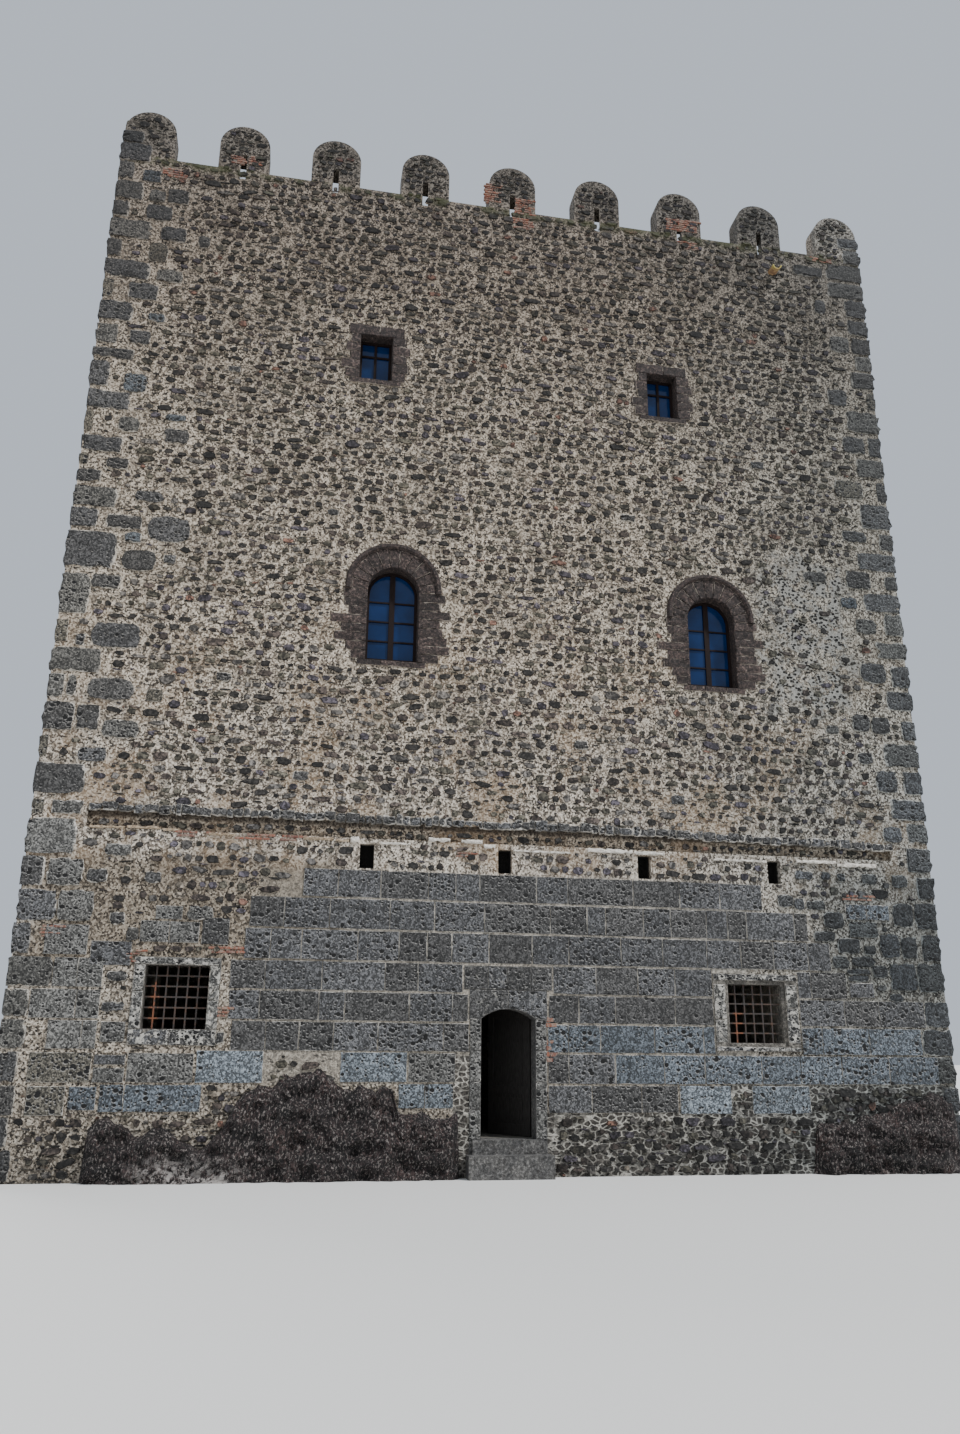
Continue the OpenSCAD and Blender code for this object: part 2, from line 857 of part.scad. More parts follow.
// Segmental arch over the opening, cut into the lintel stones
module door_arch()
    in_depth(-over, door_reveal + over) {
        arch_r = (door_w * door_w / 4 + door_arch_rise * door_arch_rise) / (2 * door_arch_rise);
        intersection() {
            translate([0, door_spring_z + door_arch_rise - arch_r])
                circle(arch_r);
            translate([-door_w / 2, door_spring_z - over])
                square([door_w, door_arch_rise + 2 * over]);
        }
    }

module door_lintel()
    color("#6b5f58")
        at_door()
            difference() {
                in_depth(-ring_proud, door_reveal)
                    lintel_outline();
                door_arch();
                // Joint at the crown, and the joints of the row of blocks
                box_between([-joint_w / 2, -over, door_spring_z], [joint_w / 2, joint_depth,
                    door_spring_z + door_lintel_h]);
                for (share = block_joints)
                    translate([(2 * share - 1) * block_row_half, 0, 0])
                        box_between([-joint_w / 2, -over, door_spring_z + door_lintel_h],
                            [joint_w / 2, joint_depth, door_spring_z + door_lintel_h + door_block_h + 1]);
                box_between([-lintel_half, -over, door_spring_z + door_lintel_h - joint_w / 2],
                    [lintel_half, joint_depth, door_spring_z + door_lintel_h + joint_w / 2]);
            }

module door_jambs()
    color("#6b5f58")
        at_door()
            for (m = [0, 1])
                mirror([m, 0, 0])
                    difference() {
                        box_between([door_w / 2, -ring_proud, entrance_floor_z],
                            [door_stones_half, door_reveal, door_spring_z]);
                        for (share = jamb_courses)
                            box_between(
                                [door_w / 2 - over, -over, entrance_floor_z
                                    + share * (door_spring_z - entrance_floor_z)],
                                [door_stones_half + over, joint_depth - ring_proud, entrance_floor_z
                                    + share * (door_spring_z - entrance_floor_z) + joint_w]
                            );
                    }

module door_sill()
    color("#57514c")
        at_door()
            union() {
                box_between([-door_stones_half, 0, step_top_z],
                    [door_stones_half, door_reveal, entrance_floor_z]);
                box_between([-door_stones_half + 55, -60, step_top_z],
                    [door_stones_half - 80, 1, entrance_floor_z]);
            }

module door_step()
    color("#57514c")
        at_door()
            union() {
                box_between([-door_stones_half, 0, 0], [door_stones_half, door_reveal, step_top_z]);
                box_between([-door_stones_half - 50, -step_out, 0],
                    [door_stones_half + 50, 0, step_top_z]);
            }

// Hooks in the back of the right jamb: a spike, a shoulder and a pin that passes up through the eye
module door_pintles()
    color("#2e2a28")
        at_door()
            for (z = eye_zs)
                translate([hinge_u, 0, z]) {
                    translate([0, hinge_w, -2 * eye_wall - seat_gap])
                        cylinder(h = 2 * eye_wall, r = eye_r);
                    translate([0, hinge_w, -2 * eye_wall - seat_gap])
                        cylinder(h = eye_h + 3 * eye_wall, r = pin_r);
                    box_between([-pin_r, door_reveal, -2 * eye_wall - seat_gap],
                        [pin_r, hinge_w, -seat_gap]);
                }

// A panel sunk in one face of the leaf, with a raised field in its middle
module sunk_panel(half_w, low, high)
    difference() {
        box_between([-half_w, -over, low], [half_w, leaf_t / 4, high]);
        box_between([-half_w + field_margin, leaf_t / 12, low + field_margin],
            [half_w - field_margin, leaf_t / 2, high - field_margin]);
    }

// The closed leaf: stiles and rails round two sunk panels on each face
module closed_leaf() {
    leaf_half = door_w / 2 + leaf_lap;
    difference() {
        box_between([-leaf_half, leaf_front_w, leaf_foot_z],
            [leaf_half, leaf_front_w + leaf_t, leaf_top_z]);
        for (panel = leaf_panels, inner = [0, 1])
            translate([0, leaf_front_w + inner * leaf_t, 0])
                mirror([0, inner, 0])
                    sunk_panel(leaf_half - stile_w, panel[0], panel[1]);
    }
}

// Two iron straps on the leaf's inner face, each with an eye on its pintle's pin
module closed_straps()
    for (z = eye_zs)
        translate([hinge_u, hinge_w, z])
            difference() {
                union() {
                    cylinder(h = eye_h, r = eye_r);
                    box_between([-eye_r - strap_len, -eye_r, 0], [0, -eye_r + strap_t, strap_w]);
                }
                translate([0, 0, -1])
                    cylinder(h = eye_h + 2, r = pin_r + seat_gap);
            }

module swung_open()
    at_door()
        translate([hinge_u, hinge_w, 0])
            rotate([0, 0, -leaf_open])
                translate([-hinge_u, -hinge_w, 0])
                    children();

module door_leaf()
    color("#3a2a22")
        swung_open()
            closed_leaf();

module door_straps()
    color("#2e2a28")
        swung_open()
            closed_straps();

// The bedrock at the foot of the front, which leans back as it rises, and lies against the quoins
module rock_outcrops()
    color("#4b3b35")
        on_side(FRONT)
            for (outline = [rock_left, rock_right])
                difference() {
                    in_depth(-rock_out, 0)
                        polygon(outline);
                    translate([-wall_w / 2, 0, 0])
                        rotate([90, 0, 90])
                            linear_extrude(wall_w)
                                polygon([
                                    [-rock_out - over, rock_top_z / 3], [-rock_out, rock_top_z / 3],
                                    [-rock_top_out, rock_top_z], [-rock_out - over, rock_top_z]
                                ]);
                    box_between([wall_w / 2 - quoin_long, -quoin_proud, -over],
                        [wall_w / 2 + over, over, rock_top_z]);
                }

// The spout slopes down a little as it leaves the terrace
module spout_place()
    translate([spout_u, 0, second_top_z + terrace_t + spout_r])
        rotate([5, 0, 0])
            children();

module roof_spout()
    color("#a5674a")
        on_side(FRONT)
            spout_place()
                difference() {
                    translate([0, parapet_t, 0])
                        rotate([90, 0, 0])
                            cylinder(h = parapet_t + spout_out, r = spout_r);
                    translate([0, parapet_t + over, 0])
                        rotate([90, 0, 0])
                            cylinder(h = parapet_t + spout_out + 2 * over, r = spout_r - spout_wall);
                    box_between([-spout_r, -spout_out - over, 0], [spout_r, parapet_t + over, spout_r]);
                }

front_ground_wall_left();
front_ground_wall_right();
front_wall_over_door();
front_first_storey_wall();
front_second_storey_wall();
back_ground_wall();
back_first_storey_wall();
back_second_storey_wall();
left_ground_wall();
left_first_storey_wall();
left_second_storey_wall();
right_ground_wall();
right_first_storey_wall();
right_second_storey_wall();
front_parapet();
back_parapet();
side_parapets();
front_merlons();
back_merlons();
side_merlons();
corner_merlons();
corner_quoins();
ground_floor();
first_floor();
second_floor();
roof_terrace();
arched_window_surrounds();
square_window_surrounds();
barred_window_frames();
arched_window_casements();
square_window_casements();
arched_window_glass();
square_window_glass();
window_grilles();
door_lintel();
door_jambs();
door_sill();
door_step();
door_pintles();
door_leaf();
door_straps();
rock_outcrops();
roof_spout();
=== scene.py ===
"""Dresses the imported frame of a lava-stone castle keep, piece by piece, for its portrait."""
import json
import math

import bpy
import numpy as np
from mathutils import Matrix, Vector, noise

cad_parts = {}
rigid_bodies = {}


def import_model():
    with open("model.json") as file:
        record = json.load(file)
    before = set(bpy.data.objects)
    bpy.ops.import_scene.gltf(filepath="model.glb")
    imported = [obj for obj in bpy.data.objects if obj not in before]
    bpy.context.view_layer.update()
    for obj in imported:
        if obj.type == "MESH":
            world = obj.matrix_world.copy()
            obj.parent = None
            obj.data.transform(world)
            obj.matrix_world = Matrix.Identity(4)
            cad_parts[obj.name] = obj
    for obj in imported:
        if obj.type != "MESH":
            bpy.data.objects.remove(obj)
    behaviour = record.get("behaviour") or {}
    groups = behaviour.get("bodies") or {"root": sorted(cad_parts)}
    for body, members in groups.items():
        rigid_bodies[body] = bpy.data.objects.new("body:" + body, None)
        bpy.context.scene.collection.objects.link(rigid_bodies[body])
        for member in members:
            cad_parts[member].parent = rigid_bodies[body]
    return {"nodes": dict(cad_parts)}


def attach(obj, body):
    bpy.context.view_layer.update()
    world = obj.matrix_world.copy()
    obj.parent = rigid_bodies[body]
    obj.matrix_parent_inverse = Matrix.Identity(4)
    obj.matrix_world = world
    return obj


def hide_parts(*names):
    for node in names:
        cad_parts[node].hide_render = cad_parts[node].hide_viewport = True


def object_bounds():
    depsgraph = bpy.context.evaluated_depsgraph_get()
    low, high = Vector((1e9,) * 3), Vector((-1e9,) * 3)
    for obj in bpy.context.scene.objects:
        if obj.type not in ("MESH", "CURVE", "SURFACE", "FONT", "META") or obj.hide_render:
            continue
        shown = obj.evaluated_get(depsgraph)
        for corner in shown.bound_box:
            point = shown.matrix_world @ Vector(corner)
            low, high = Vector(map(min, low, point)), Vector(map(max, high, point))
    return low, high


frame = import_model()
CAD_BOX = [list(corner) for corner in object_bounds()]

bl_info = {
    "name": "Castle keep dressing",
    "version": (1, 0, 0),
    "blender": (4, 5, 0),
    "location": "3D View > Sidebar > Keep",
    "description": "Stones, mortar, windows, door and battlements over the packed keep",
    "category": "Object",
}

# Sides, and places that repeat the frame's, in metres
FRONT, RIGHT, BACK, LEFT = range(4)
FACE_X, FACE_Y = 8.475, 4.225
CRENEL = 20.17
MERLON_W, MERLON_RISE = 1.066, 0.66
LOOP_W, LOOP_HIGH = 0.12, 20.6
MERLONS = {0: 9, 1: 5}
ARCH_HALF, ARCH_RISE, RING_LIFT, RING_R, HOOD_R = 0.5, 1.44, 0.075, 0.825, 0.94
ARCH_TEETH = (
    (0.47, 0.45, 0.36, 0.69, 0.47, 0.58, 0.39, 0.29),
    (0.51, 0.43, 0.62, 0.42, 0.47, 0.55, 0.62, 0.38),
)
SQUARE_HALF, SQUARE_H, LINTEL_H = 0.335, 1.065, 0.23
SQUARE_TEETH = ((0.19, 0.28, 0.21, 0.37, 0.29), (0.29, 0.37, 0.30, 0.35, 0.27))
ARCHED = {0: ((-2.38, 9.14), (4.16, 9.08)), 1: ((0.0, 9.14),)}
SQUARE = {0: ((-2.915, 15.32), (3.345, 15.22)), 1: ((0.0, 15.32),)}
BARRED = {0: ((-5.8, 2.35, 0), (4.595, 2.22, 1)), 1: ((0.0, 2.35, 0),)}
BARRED_HALF, BARRED_H = 0.525, 1.04
# Height of the sills, and how far the sills and lintels reach past the openings
SILL_H = 0.11
ARCH_SILL_LAP, SQUARE_SILL_LAP, LINTEL_LAP = 0.14, 0.19, 0.24
# Frames of the barred windows, plain and moulded: width beside, over and under the opening, inner edge
FRAME_EDGES = ((0.19, 0.13, 0.26, 0.003), (0.3, 0.19, 0.15, 0.065))
# The doorway's middle, half width and arch, then its lintel and the row of blocks over it
DOOR_U, DOOR_HALF = -0.087, 0.4875
DOOR_SPRING, DOOR_ARCH_RISE, DOOR_ARCH_R = 2.585, 0.17, 0.784
DOOR_SILL_TOP = 0.605
LINTEL_HALF, LINTEL_TOP = 0.7, 3.075
DOOR_ROW_HALF, DOOR_ROW_LOW, DOOR_ROW_HIGH = 0.7975, 3.085, 3.485
DOOR_ROW_JOINTS = (0, 0.27, 0.49, 0.76, 1)
JAMB_JOINTS = (0, 0.24, 0.47, 0.73, 1)
JAMB_W = 0.2
# Beam holes: their middles, then their half width, foot and top
BEAM_HOLES = (-2.69, -0.15, 2.535, 5.15)
BEAM_HOLE = (0.13, 5.15, 5.59)
# The chase: left, right, low, high, depth; and the foot and top of the band with its ledge
CHASE = (-7.555, 7.65, 5.69, 6.0, 0.09)
LEDGE_BAND = (5.56, 6.09)
# Outlines of the rock at the foot, as places across and heights
ROCK_LEFT = ((-7.02, 0), (-6.98, 0.88), (-6.75, 0.97), (-6.45, 0.93), (-6.25, 0.7), (-5.95, 0.82),
             (-5.6, 0.62), (-5.2, 0.48), (-5.0, 0.68), (-4.7, 1.08), (-4.44, 1.32), (-3.88, 1.72),
             (-3.6, 1.6), (-3.07, 1.5), (-2.08, 1.48), (-2.02, 1.07), (-0.95, 1.05), (-0.93, 0))
ROCK_RIGHT = ((5.49, 0), (5.58, 0.73), (6.49, 0.96), (7.86, 1.29), (8.35, 1.23), (8.38, 0))

# Parts of the front whose finish differs: left, right, low, high
JOINTED_PATCH = (-4.5, 4.5, 1.5, 5.1)
GREY_MORTAR_PATCH = (-8.3, -3.0, 3.3, 5.25)
WHITE_PATCH = (5.3, 7.2, 8.7, 12.1)
VEINED_PATCH = (-1.06, -0.76, -0.1, 1.97)
COLD_PATCH = (5.9, 9.0, 2.9, 5.5)
RUSTY_BARS = ((-6.22, -6.08, 2.3, 3.1), (4.18, 4.35, 2.2, 2.75))
# Depths between which the front's face gives way to what is behind it
BEHIND_FACE = (-4.15, -4.05)

# Corner stones of the front, from the ground up: low, high, length along the front
LEFT_CORNER = (
    (0.02, 0.5, 0.4), (0.52, 0.98, 0.3), (1.0, 1.46, 0.35), (1.5, 1.98, 0.32), (2.02, 2.48, 0.38),
    (2.52, 2.96, 0.36), (3.0, 3.48, 0.68), (3.52, 4.03, 0.26), (4.06, 4.6, 0.62), (4.65, 5.15, 0.34),
    (5.2, 5.82, 0.8), (5.87, 6.16, 0.2), (6.25, 6.8, 0.82), (6.88, 7.3, 0.12), (7.4, 7.92, 0.5),
    (8.0, 8.45, 0.26), (8.5, 8.96, 0.85), (9.05, 9.5, 0.2), (9.62, 10.42, 0.5), (10.55, 11.3, 0.88),
    (11.38, 11.78, 0.48), (11.82, 12.24, 0.78), (12.33, 12.6, 0.45), (12.68, 12.95, 0.16),
    (13.0, 13.36, 0.76), (13.42, 13.9, 0.15), (13.95, 14.37, 0.8), (14.45, 15.02, 0.34),
    (15.1, 15.35, 0.78), (15.45, 15.9, 0.4), (16.0, 16.45, 0.64), (16.52, 16.98, 0.2),
    (17.04, 17.47, 0.87), (17.54, 17.96, 0.25), (18.02, 18.48, 0.82), (18.54, 18.94, 0.3),
    (19.0, 19.46, 0.55), (19.52, 19.97, 0.3), (20.0, 20.46, 0.62), (20.5, 20.8, 0.42),
)
RIGHT_CORNER = (
    (0.02, 0.5, 0.4), (0.52, 0.98, 0.5), (1.02, 1.47, 0.3), (1.5, 2.0, 0.35), (2.02, 2.5, 0.6),
    (2.53, 3.0, 0.48), (3.18, 3.72, 0.54), (3.76, 4.26, 0.38), (4.36, 4.88, 0.46), (4.95, 5.38, 0.34),
    (5.48, 5.96, 0.5), (6.06, 6.46, 0.42), (6.52, 6.95, 0.74), (7.06, 7.54, 0.38), (7.62, 8.12, 0.74),
    (8.2, 8.62, 0.28), (8.84, 9.26, 0.54), (9.34, 9.82, 0.38), (9.98, 10.36, 0.68), (10.5, 11.0, 0.4),
    (11.04, 11.46, 0.84), (11.56, 11.9, 0.28), (12.0, 12.42, 0.88), (12.5, 12.9, 0.3),
    (13.0, 13.6, 0.68), (13.68, 14.2, 0.22), (14.28, 14.74, 0.64), (14.82, 15.32, 0.3),
    (15.42, 15.96, 0.78), (16.02, 16.52, 0.2), (16.58, 17.02, 0.54), (17.07, 17.46, 0.38),
    (17.52, 17.96, 0.44), (18.04, 18.44, 0.48), (18.52, 19.0, 0.5), (19.04, 19.48, 0.9),
    (19.54, 19.98, 0.88), (20.05, 20.45, 0.4), (20.5, 20.8, 0.5),
)

# Large round stones near the corners of the front: left, right, low, high, kind
BOULDERS = (
    (-7.86, -7.27, 4.07, 4.6, "grey"), (-8.1, -7.5, 4.66, 5.14, "grey"),
    (-8.17, -7.62, 5.9, 6.15, "grey"), (-7.85, -7.35, 6.85, 7.13, "dark"),
    (-7.96, -7.55, 7.42, 7.9, "dark"), (-7.5, -6.85, 7.3, 7.65, "grey"),
    (-8.18, -8.0, 8.03, 8.45, "grey"), (-7.83, -7.0, 8.0, 8.42, "dark"),
    (-6.8, -6.5, 8.02, 8.27, "tan"), (-7.87, -7.0, 9.0, 9.5, "dark"), (-8.13, -7.95, 9.0, 9.24, "dark"),
    (-8.0, -7.45, 10.15, 10.45, "dark"), (-7.5, -6.87, 10.56, 11.0, "dark"),
    (-6.76, -6.5, 10.75, 10.95, "dark"), (-7.5, -7.15, 11.13, 11.35, "blue"),
    (-7.1, -6.3, 11.2, 11.75, "dark"), (-7.87, -7.2, 11.4, 11.7, "dark"),
    (-7.4, -6.85, 12.0, 12.25, "dark"), (-8.0, -7.55, 12.65, 12.9, "dark"),
    (-7.87, -7.45, 13.48, 13.82, "grey"), (-7.0, -6.5, 13.33, 13.68, "dark"),
    (-7.0, -6.6, 13.82, 14.0, "blue"), (-7.87, -7.4, 14.38, 14.82, "blue"),
    (-7.87, -7.45, 15.5, 15.82, "dark"), (-7.55, -7.2, 16.05, 16.27, "blue"),
    (-8.0, -7.4, 16.55, 16.95, "dark"), (-7.5, -6.95, 17.05, 17.36, "grey"),
    (-7.7, -7.3, 17.5, 18.0, "tan"), (-7.5, -6.97, 18.07, 18.43, "dark"),
    (-6.75, -6.48, 18.0, 18.3, "dark"), (-7.85, -7.3, 18.54, 18.96, "dark"),
    (-7.82, -7.48, 19.02, 19.32, "grey"), (-8.0, -7.6, 19.5, 19.82, "blue"),
    (-7.45, -7.0, 19.04, 19.42, "dark"), (7.3, 7.87, 11.53, 11.95, "dark"),
    (7.12, 7.5, 11.05, 11.32, "blue"), (7.4, 7.9, 10.5, 10.86, "grey"), (7.4, 8.0, 9.4, 9.86, "dark"),
    (7.1, 7.5, 8.32, 8.7, "dark"), (7.52, 7.95, 8.3, 8.68, "dark"), (6.5, 6.8, 8.24, 8.43, "grey"),
    (7.15, 7.5, 7.64, 7.9, "dark"), (7.5, 7.98, 7.07, 7.53, "dark"), (7.53, 7.95, 6.05, 6.38, "dark"),
    (7.25, 7.95, 13.7, 14.16, "tan"), (7.3, 7.9, 12.64, 12.92, "dark"),
    (7.55, 8.1, 14.85, 15.3, "dark"), (7.3, 7.8, 16.05, 16.5, "dark"), (7.5, 8.0, 17.5, 17.95, "grey"),
    (7.2, 7.5, 18.5, 18.9, "dark"), (6.75, 7.5, 19.52, 19.82, "dark"), (6.3, 6.85, 11.6, 11.84, "dark"),
    (6.08, 6.53, 4.31, 4.66, "dark"), (6.6, 7.2, 4.18, 4.48, "grey"), (6.33, 6.8, 3.86, 4.16, "dark"),
    (6.88, 7.12, 3.85, 4.04, "dark"), (7.22, 7.64, 3.8, 4.27, "dark"), (7.66, 8.0, 3.8, 4.22, "dark"),
    (6.2, 6.56, 3.58, 3.83, "grey"), (6.6, 7.08, 3.62, 3.83, "dark"), (6.48, 6.96, 3.48, 3.59, "dark"),
    (6.48, 6.93, 3.35, 3.47, "dark"), (7.0, 7.33, 3.42, 3.66, "dark"), (7.36, 7.92, 3.2, 3.72, "dark"),
    (5.86, 6.3, 4.08, 4.28, "dark"), (5.5, 5.73, 4.66, 4.9, "dark"), (5.55, 5.95, 5.24, 5.43, "dark"),
    (6.1, 6.32, 5.26, 5.42, "dark"), (6.45, 6.62, 5.24, 5.4, "dark"), (7.6, 7.95, 5.15, 5.42, "grey"),
    (6.95, 7.3, 5.2, 5.42, "grey"), (5.75, 6.15, 4.68, 4.86, "grey"), (5.15, 5.5, 4.7, 4.95, "dark"),
    (7.3, 7.6, 2.98, 3.14, "dark"), (7.55, 8.0, 4.4, 4.86, "dark"), (-6.95, -6.6, 3.1, 3.28, "dark"),
    (-6.98, -6.6, 2.6, 2.78, "dark"), (-7.0, -6.74, 4.03, 4.25, "dark"),
    (-6.71, -6.49, 3.76, 4.0, "grey"), (-5.1, -4.95, 2.1, 2.32, "dark"),
    (-5.74, -5.28, 4.14, 4.4, "grey"), (-7.45, -7.1, 4.72, 4.98, "dark"),
    (-7.2, -6.75, 5.2, 5.42, "grey"), (-6.5, -6.2, 4.75, 4.96, "dark"),
    (-0.35, 0.0, 13.35, 13.5, "tan"), (-3.75, -3.5, 12.1, 12.25, "dark"),
    (2.3, 2.62, 12.6, 12.78, "dark"), (-5.9, -5.62, 15.1, 15.25, "dark"),
    (5.3, 5.62, 14.2, 14.38, "dark"), (1.2, 1.5, 7.6, 7.78, "dark"), (-4.1, -3.8, 6.7, 6.88, "dark"),
    (-5.6, -5.3, 8.5, 8.68, "dark"), (3.1, 3.42, 6.6, 6.8, "dark"),
)

# Courses of squared blocks on the front: low, high, joints from left to right, kind
FRONT_COURSES = (
    (4.62, 5.12, (-3.79, -3.18, -2.42, -1.56, -1.06, -0.62, 0.44, 1.03, 2.29, 3.2, 4.0, 4.85), "dark"),
    (4.07, 4.6, (-4.68, -4.09, -3.3, -2.24, -1.44, -0.53, 0.69, 1.39, 1.74, 2.47, 3.0, 3.7, 4.12, 4.5,
                 5.47, 5.74), "dark"),
    (3.53, 4.05, (-4.73, -4.29, -3.76, -2.79, -2.06, -1.56, -1.12, -0.44, 0.35, 1.03, 2.02, 2.82, 3.68,
                  4.35, 5.0, 5.7, 6.16), "dark"),
    (3.02, 3.51, (-4.94, -4.35, -3.38, -2.29, -1.71, -0.91), "dark"),
    (3.02, 3.51, (0.73, 1.53, 2.32, 3.03, 3.75), "dark"),
    (3.02, 3.51, (5.45, 5.72, 6.44), "dark"),
    (2.52, 3.0, (-4.92, -4.41, -3.41, -2.97, -1.85, -1.09, -0.81), "dark"),
    (2.52, 3.0, (0.64, 1.2, 1.88, 3.01, 3.75), "dark"),
    (2.52, 3.0, (5.45, 6.35, 7.06, 8.0), "dark"),
    (2.02, 2.5, (-4.85, -4.28, -3.72, -3.14, -2.38, -1.24, -0.79), "dark"),
    (2.02, 2.5, (0.62, 1.0, 1.59, 2.6, 3.53, 3.75), "blue"),
    (2.02, 2.5, (5.45, 5.86, 6.8, 7.88), "blue"),
    (1.5, 2.02, (-5.38, -4.28), "pale"),
    (1.52, 2.01, (-3.0, -1.86), "pale"),
    (1.52, 2.0, (-1.84, -1.02), "grey"),
    (1.5, 2.0, (0.62, 1.0, 1.85), "dark"),
    (1.5, 2.0, (1.85, 2.76, 3.53, 4.62, 5.38, 6.2, 7.15, 8.15), "blue"),
    (1.1, 1.5, (-2.0, -1.55, -1.05), "pale"),
    (1.02, 1.48, (0.62, 1.41, 2.32, 3.0), "dark"),
    (1.0, 1.48, (3.03, 4.0), "pale"),
    (1.0, 1.48, (4.4, 5.53), "pale"),
    (3.0, 3.48, (-7.8, -7.41, -7.0), "grey"),
    (2.5, 2.97, (-8.1, -7.38, -7.0), "grey"),
    (2.02, 2.48, (-7.78, -7.24, -7.0), "grey"),
    (2.13, 2.46, (-6.95, -6.55), "grey"),
    (3.52, 4.02, (-8.0, -7.3), "grey"),
    (3.36, 3.76, (-7.25, -6.58), "dark"),
    (3.76, 4.12, (-6.48, -6.0, -5.5), "grey"),
    (3.74, 4.2, (-5.46, -5.0), "dark"),
    (4.15, 4.38, (-6.26, -5.8), "grey"),
    (1.5, 1.97, (-8.0, -7.03), "tan"),
    (1.5, 1.97, (-6.47, -5.41), "grey"),
    (1.78, 1.94, (-7.0, -6.5), "dark"),
    (1.5, 1.74, (-7.0, -6.5), "grey"),
    (1.0, 1.45, (-7.97, -7.38), "tan"),
    (1.08, 1.45, (-7.33, -6.9), "blue"),
    (1.05, 1.48, (-6.86, -6.47, -5.25), "blue"),
    (4.51, 4.81, (6.56, 7.0, 7.48), "blue"),
    (3.05, 3.33, (6.5, 7.0), "dark"),
)
# Courses that are repeated round the other sides
PLAIN_COURSES = ((4.62, 5.12), (4.07, 4.6), (3.53, 4.05), (3.02, 3.51), (2.52, 3.0), (2.02, 2.5), (1.5, 2.0),
                 (1.02, 1.48))
TONES = {"dark": (0.02, 0.3), "grey": (0.34, 0.5), "blue": (0.56, 0.68), "pale": (0.72, 0.8),
         "tan": (0.86, 0.94)}

# Patches of thin red brick: side, place, half width, low, high
BRICK_PATCHES = (
    (0, -6.13, 0.1, 20.33, 20.55), (0, -5.72, 0.12, 20.36, 20.55), (0, -0.5, 0.14, 20.28, 20.85),
    (0, 0.22, 0.16, 20.1, 20.5), (0, 0.2, 0.2, 19.7, 19.95), (0, 3.85, 0.2, 20.3, 20.62),
    (0, 4.15, 0.2, 20.3, 20.62), (0, 4.1, 0.18, 19.8, 19.98), (0, 7.45, 0.25, 20.0, 20.12),
    (0, -7.4, 0.22, 19.72, 19.9), (0, -6.58, 0.1, 3.42, 3.62), (0, -5.1, 0.14, 2.55, 2.72),
    (0, -5.75, 0.3, 5.58, 5.68), (0, -4.45, 0.55, 5.58, 5.68), (0, 0.64, 0.05, 1.86, 2.16),
    (0, 0.64, 0.05, 2.45, 2.62), (0, -7.95, 0.12, 3.8, 4.0), (0, -5.05, 0.25, 3.6, 3.7),
    (0, 6.85, 0.3, 4.88, 4.98), (0, -0.95, 0.1, 5.42, 5.5),
)
# Strips of old plaster under the ledge: left, right, low, high, how far they stand out
PLASTER_STRIPS = (
    (-1.59, -1.18, 5.68, 5.76, 0.05), (-0.97, -0.58, 5.68, 5.75, 0.05), (-0.56, -0.34, 5.6, 5.68, 0.045),
    (1.41, 2.3, 5.61, 5.69, 0.05), (2.32, 2.94, 5.6, 5.67, 0.045), (3.9, 5.0, 5.55, 5.6, 0.03),
    (5.6, 6.45, 5.57, 5.64, 0.045), (6.47, 7.3, 5.53, 5.61, 0.045), (-3.0, -2.84, 5.6, 5.72, 0.04),
    (0.0, 1.1, 5.56, 5.6, 0.03), (-2.45, -1.9, 5.6, 5.64, 0.03),
)
TAN_STRIPS = (
    (-7.5, -6.9, 5.67, 5.73, 0.03), (-6.88, -6.3, 5.69, 5.75, 0.03), (-6.28, -5.98, 5.67, 5.72, 0.03),
    (-5.5, -5.02, 5.63, 5.67, 0.03), (-3.85, -3.3, 5.62, 5.68, 0.03), (-3.28, -3.02, 5.61, 5.66, 0.03),
)

BRICK_JOINT = 0.012
# The ledge sags to the right: where that starts, over what length, and by how much
LEDGE_SAG = (1.0, 6.5, 0.1)

# Depth of the back and width of the joint of thin facing stones: closely laid, and more roughly
WORN, ROUGH = {"back": 0.03, "gap": 0.003}, {"back": 0.03, "gap": 0.004}
# Joints of the facing stones on the windows' sills and lintels, across from the middle
ARCH_SILL_JOINTS, LINTEL_JOINTS = (-0.66, -0.2, 0.24, 0.66), (-0.58, 0.05, 0.58)
SQUARE_SILL = (-0.53, 0.53)
WORN_SILL_H = 0.12
RING_STONES = 11
# Corner stones: reach of both arms together, longest of the small tan ones, where the parapet's own begin
CORNER_REACH, CORNER_SMALL, CORNER_PARAPET = 1.15, 0.22, 19.9
# Heights between which loose blocks lie beside the corners
LOOSE_LOW, LOOSE_HIGH = 5.3, 19.7
# Bedrock: width of its grid, rows of points, depth of its back in the wall, how far it may stand out
ROCK_STEP, ROCK_ROWS, ROCK_BACK, ROCK_OUT = 0.055, 32, 0.03, 0.345

# Rubble of the front: its top below the ledge, its foot above it, and where its lower piece ends
UNDER_LEDGE, OVER_LEDGE, FRONT_SPLIT = 5.6, 6.08, 11.5
# Place beside the right arched window where plaster leaves few stones: middle and half size, across and up
PLASTERED = (6.5, 1.05, 10.5, 1.7)
# Footing stones of the front: up to this height all along it, and to this one at its right end
FOOTING_TOP, FOOTING_RIGHT_TOP = 1.0, 1.48
# They rise higher left of, between and right of these places, and round the one beside the left jamb
FOOTING_LEFT, FOOTING_GAP, FOOTING_RIGHT, FOOTING_JAMB = -3.8, (3.95, 4.45), 5.5, (-0.92, 0.09)
# Columns of laid rows that are read again
ACROSS, UP, WIDE, TALL, PROUD = 1, 3, 4, 5, 6

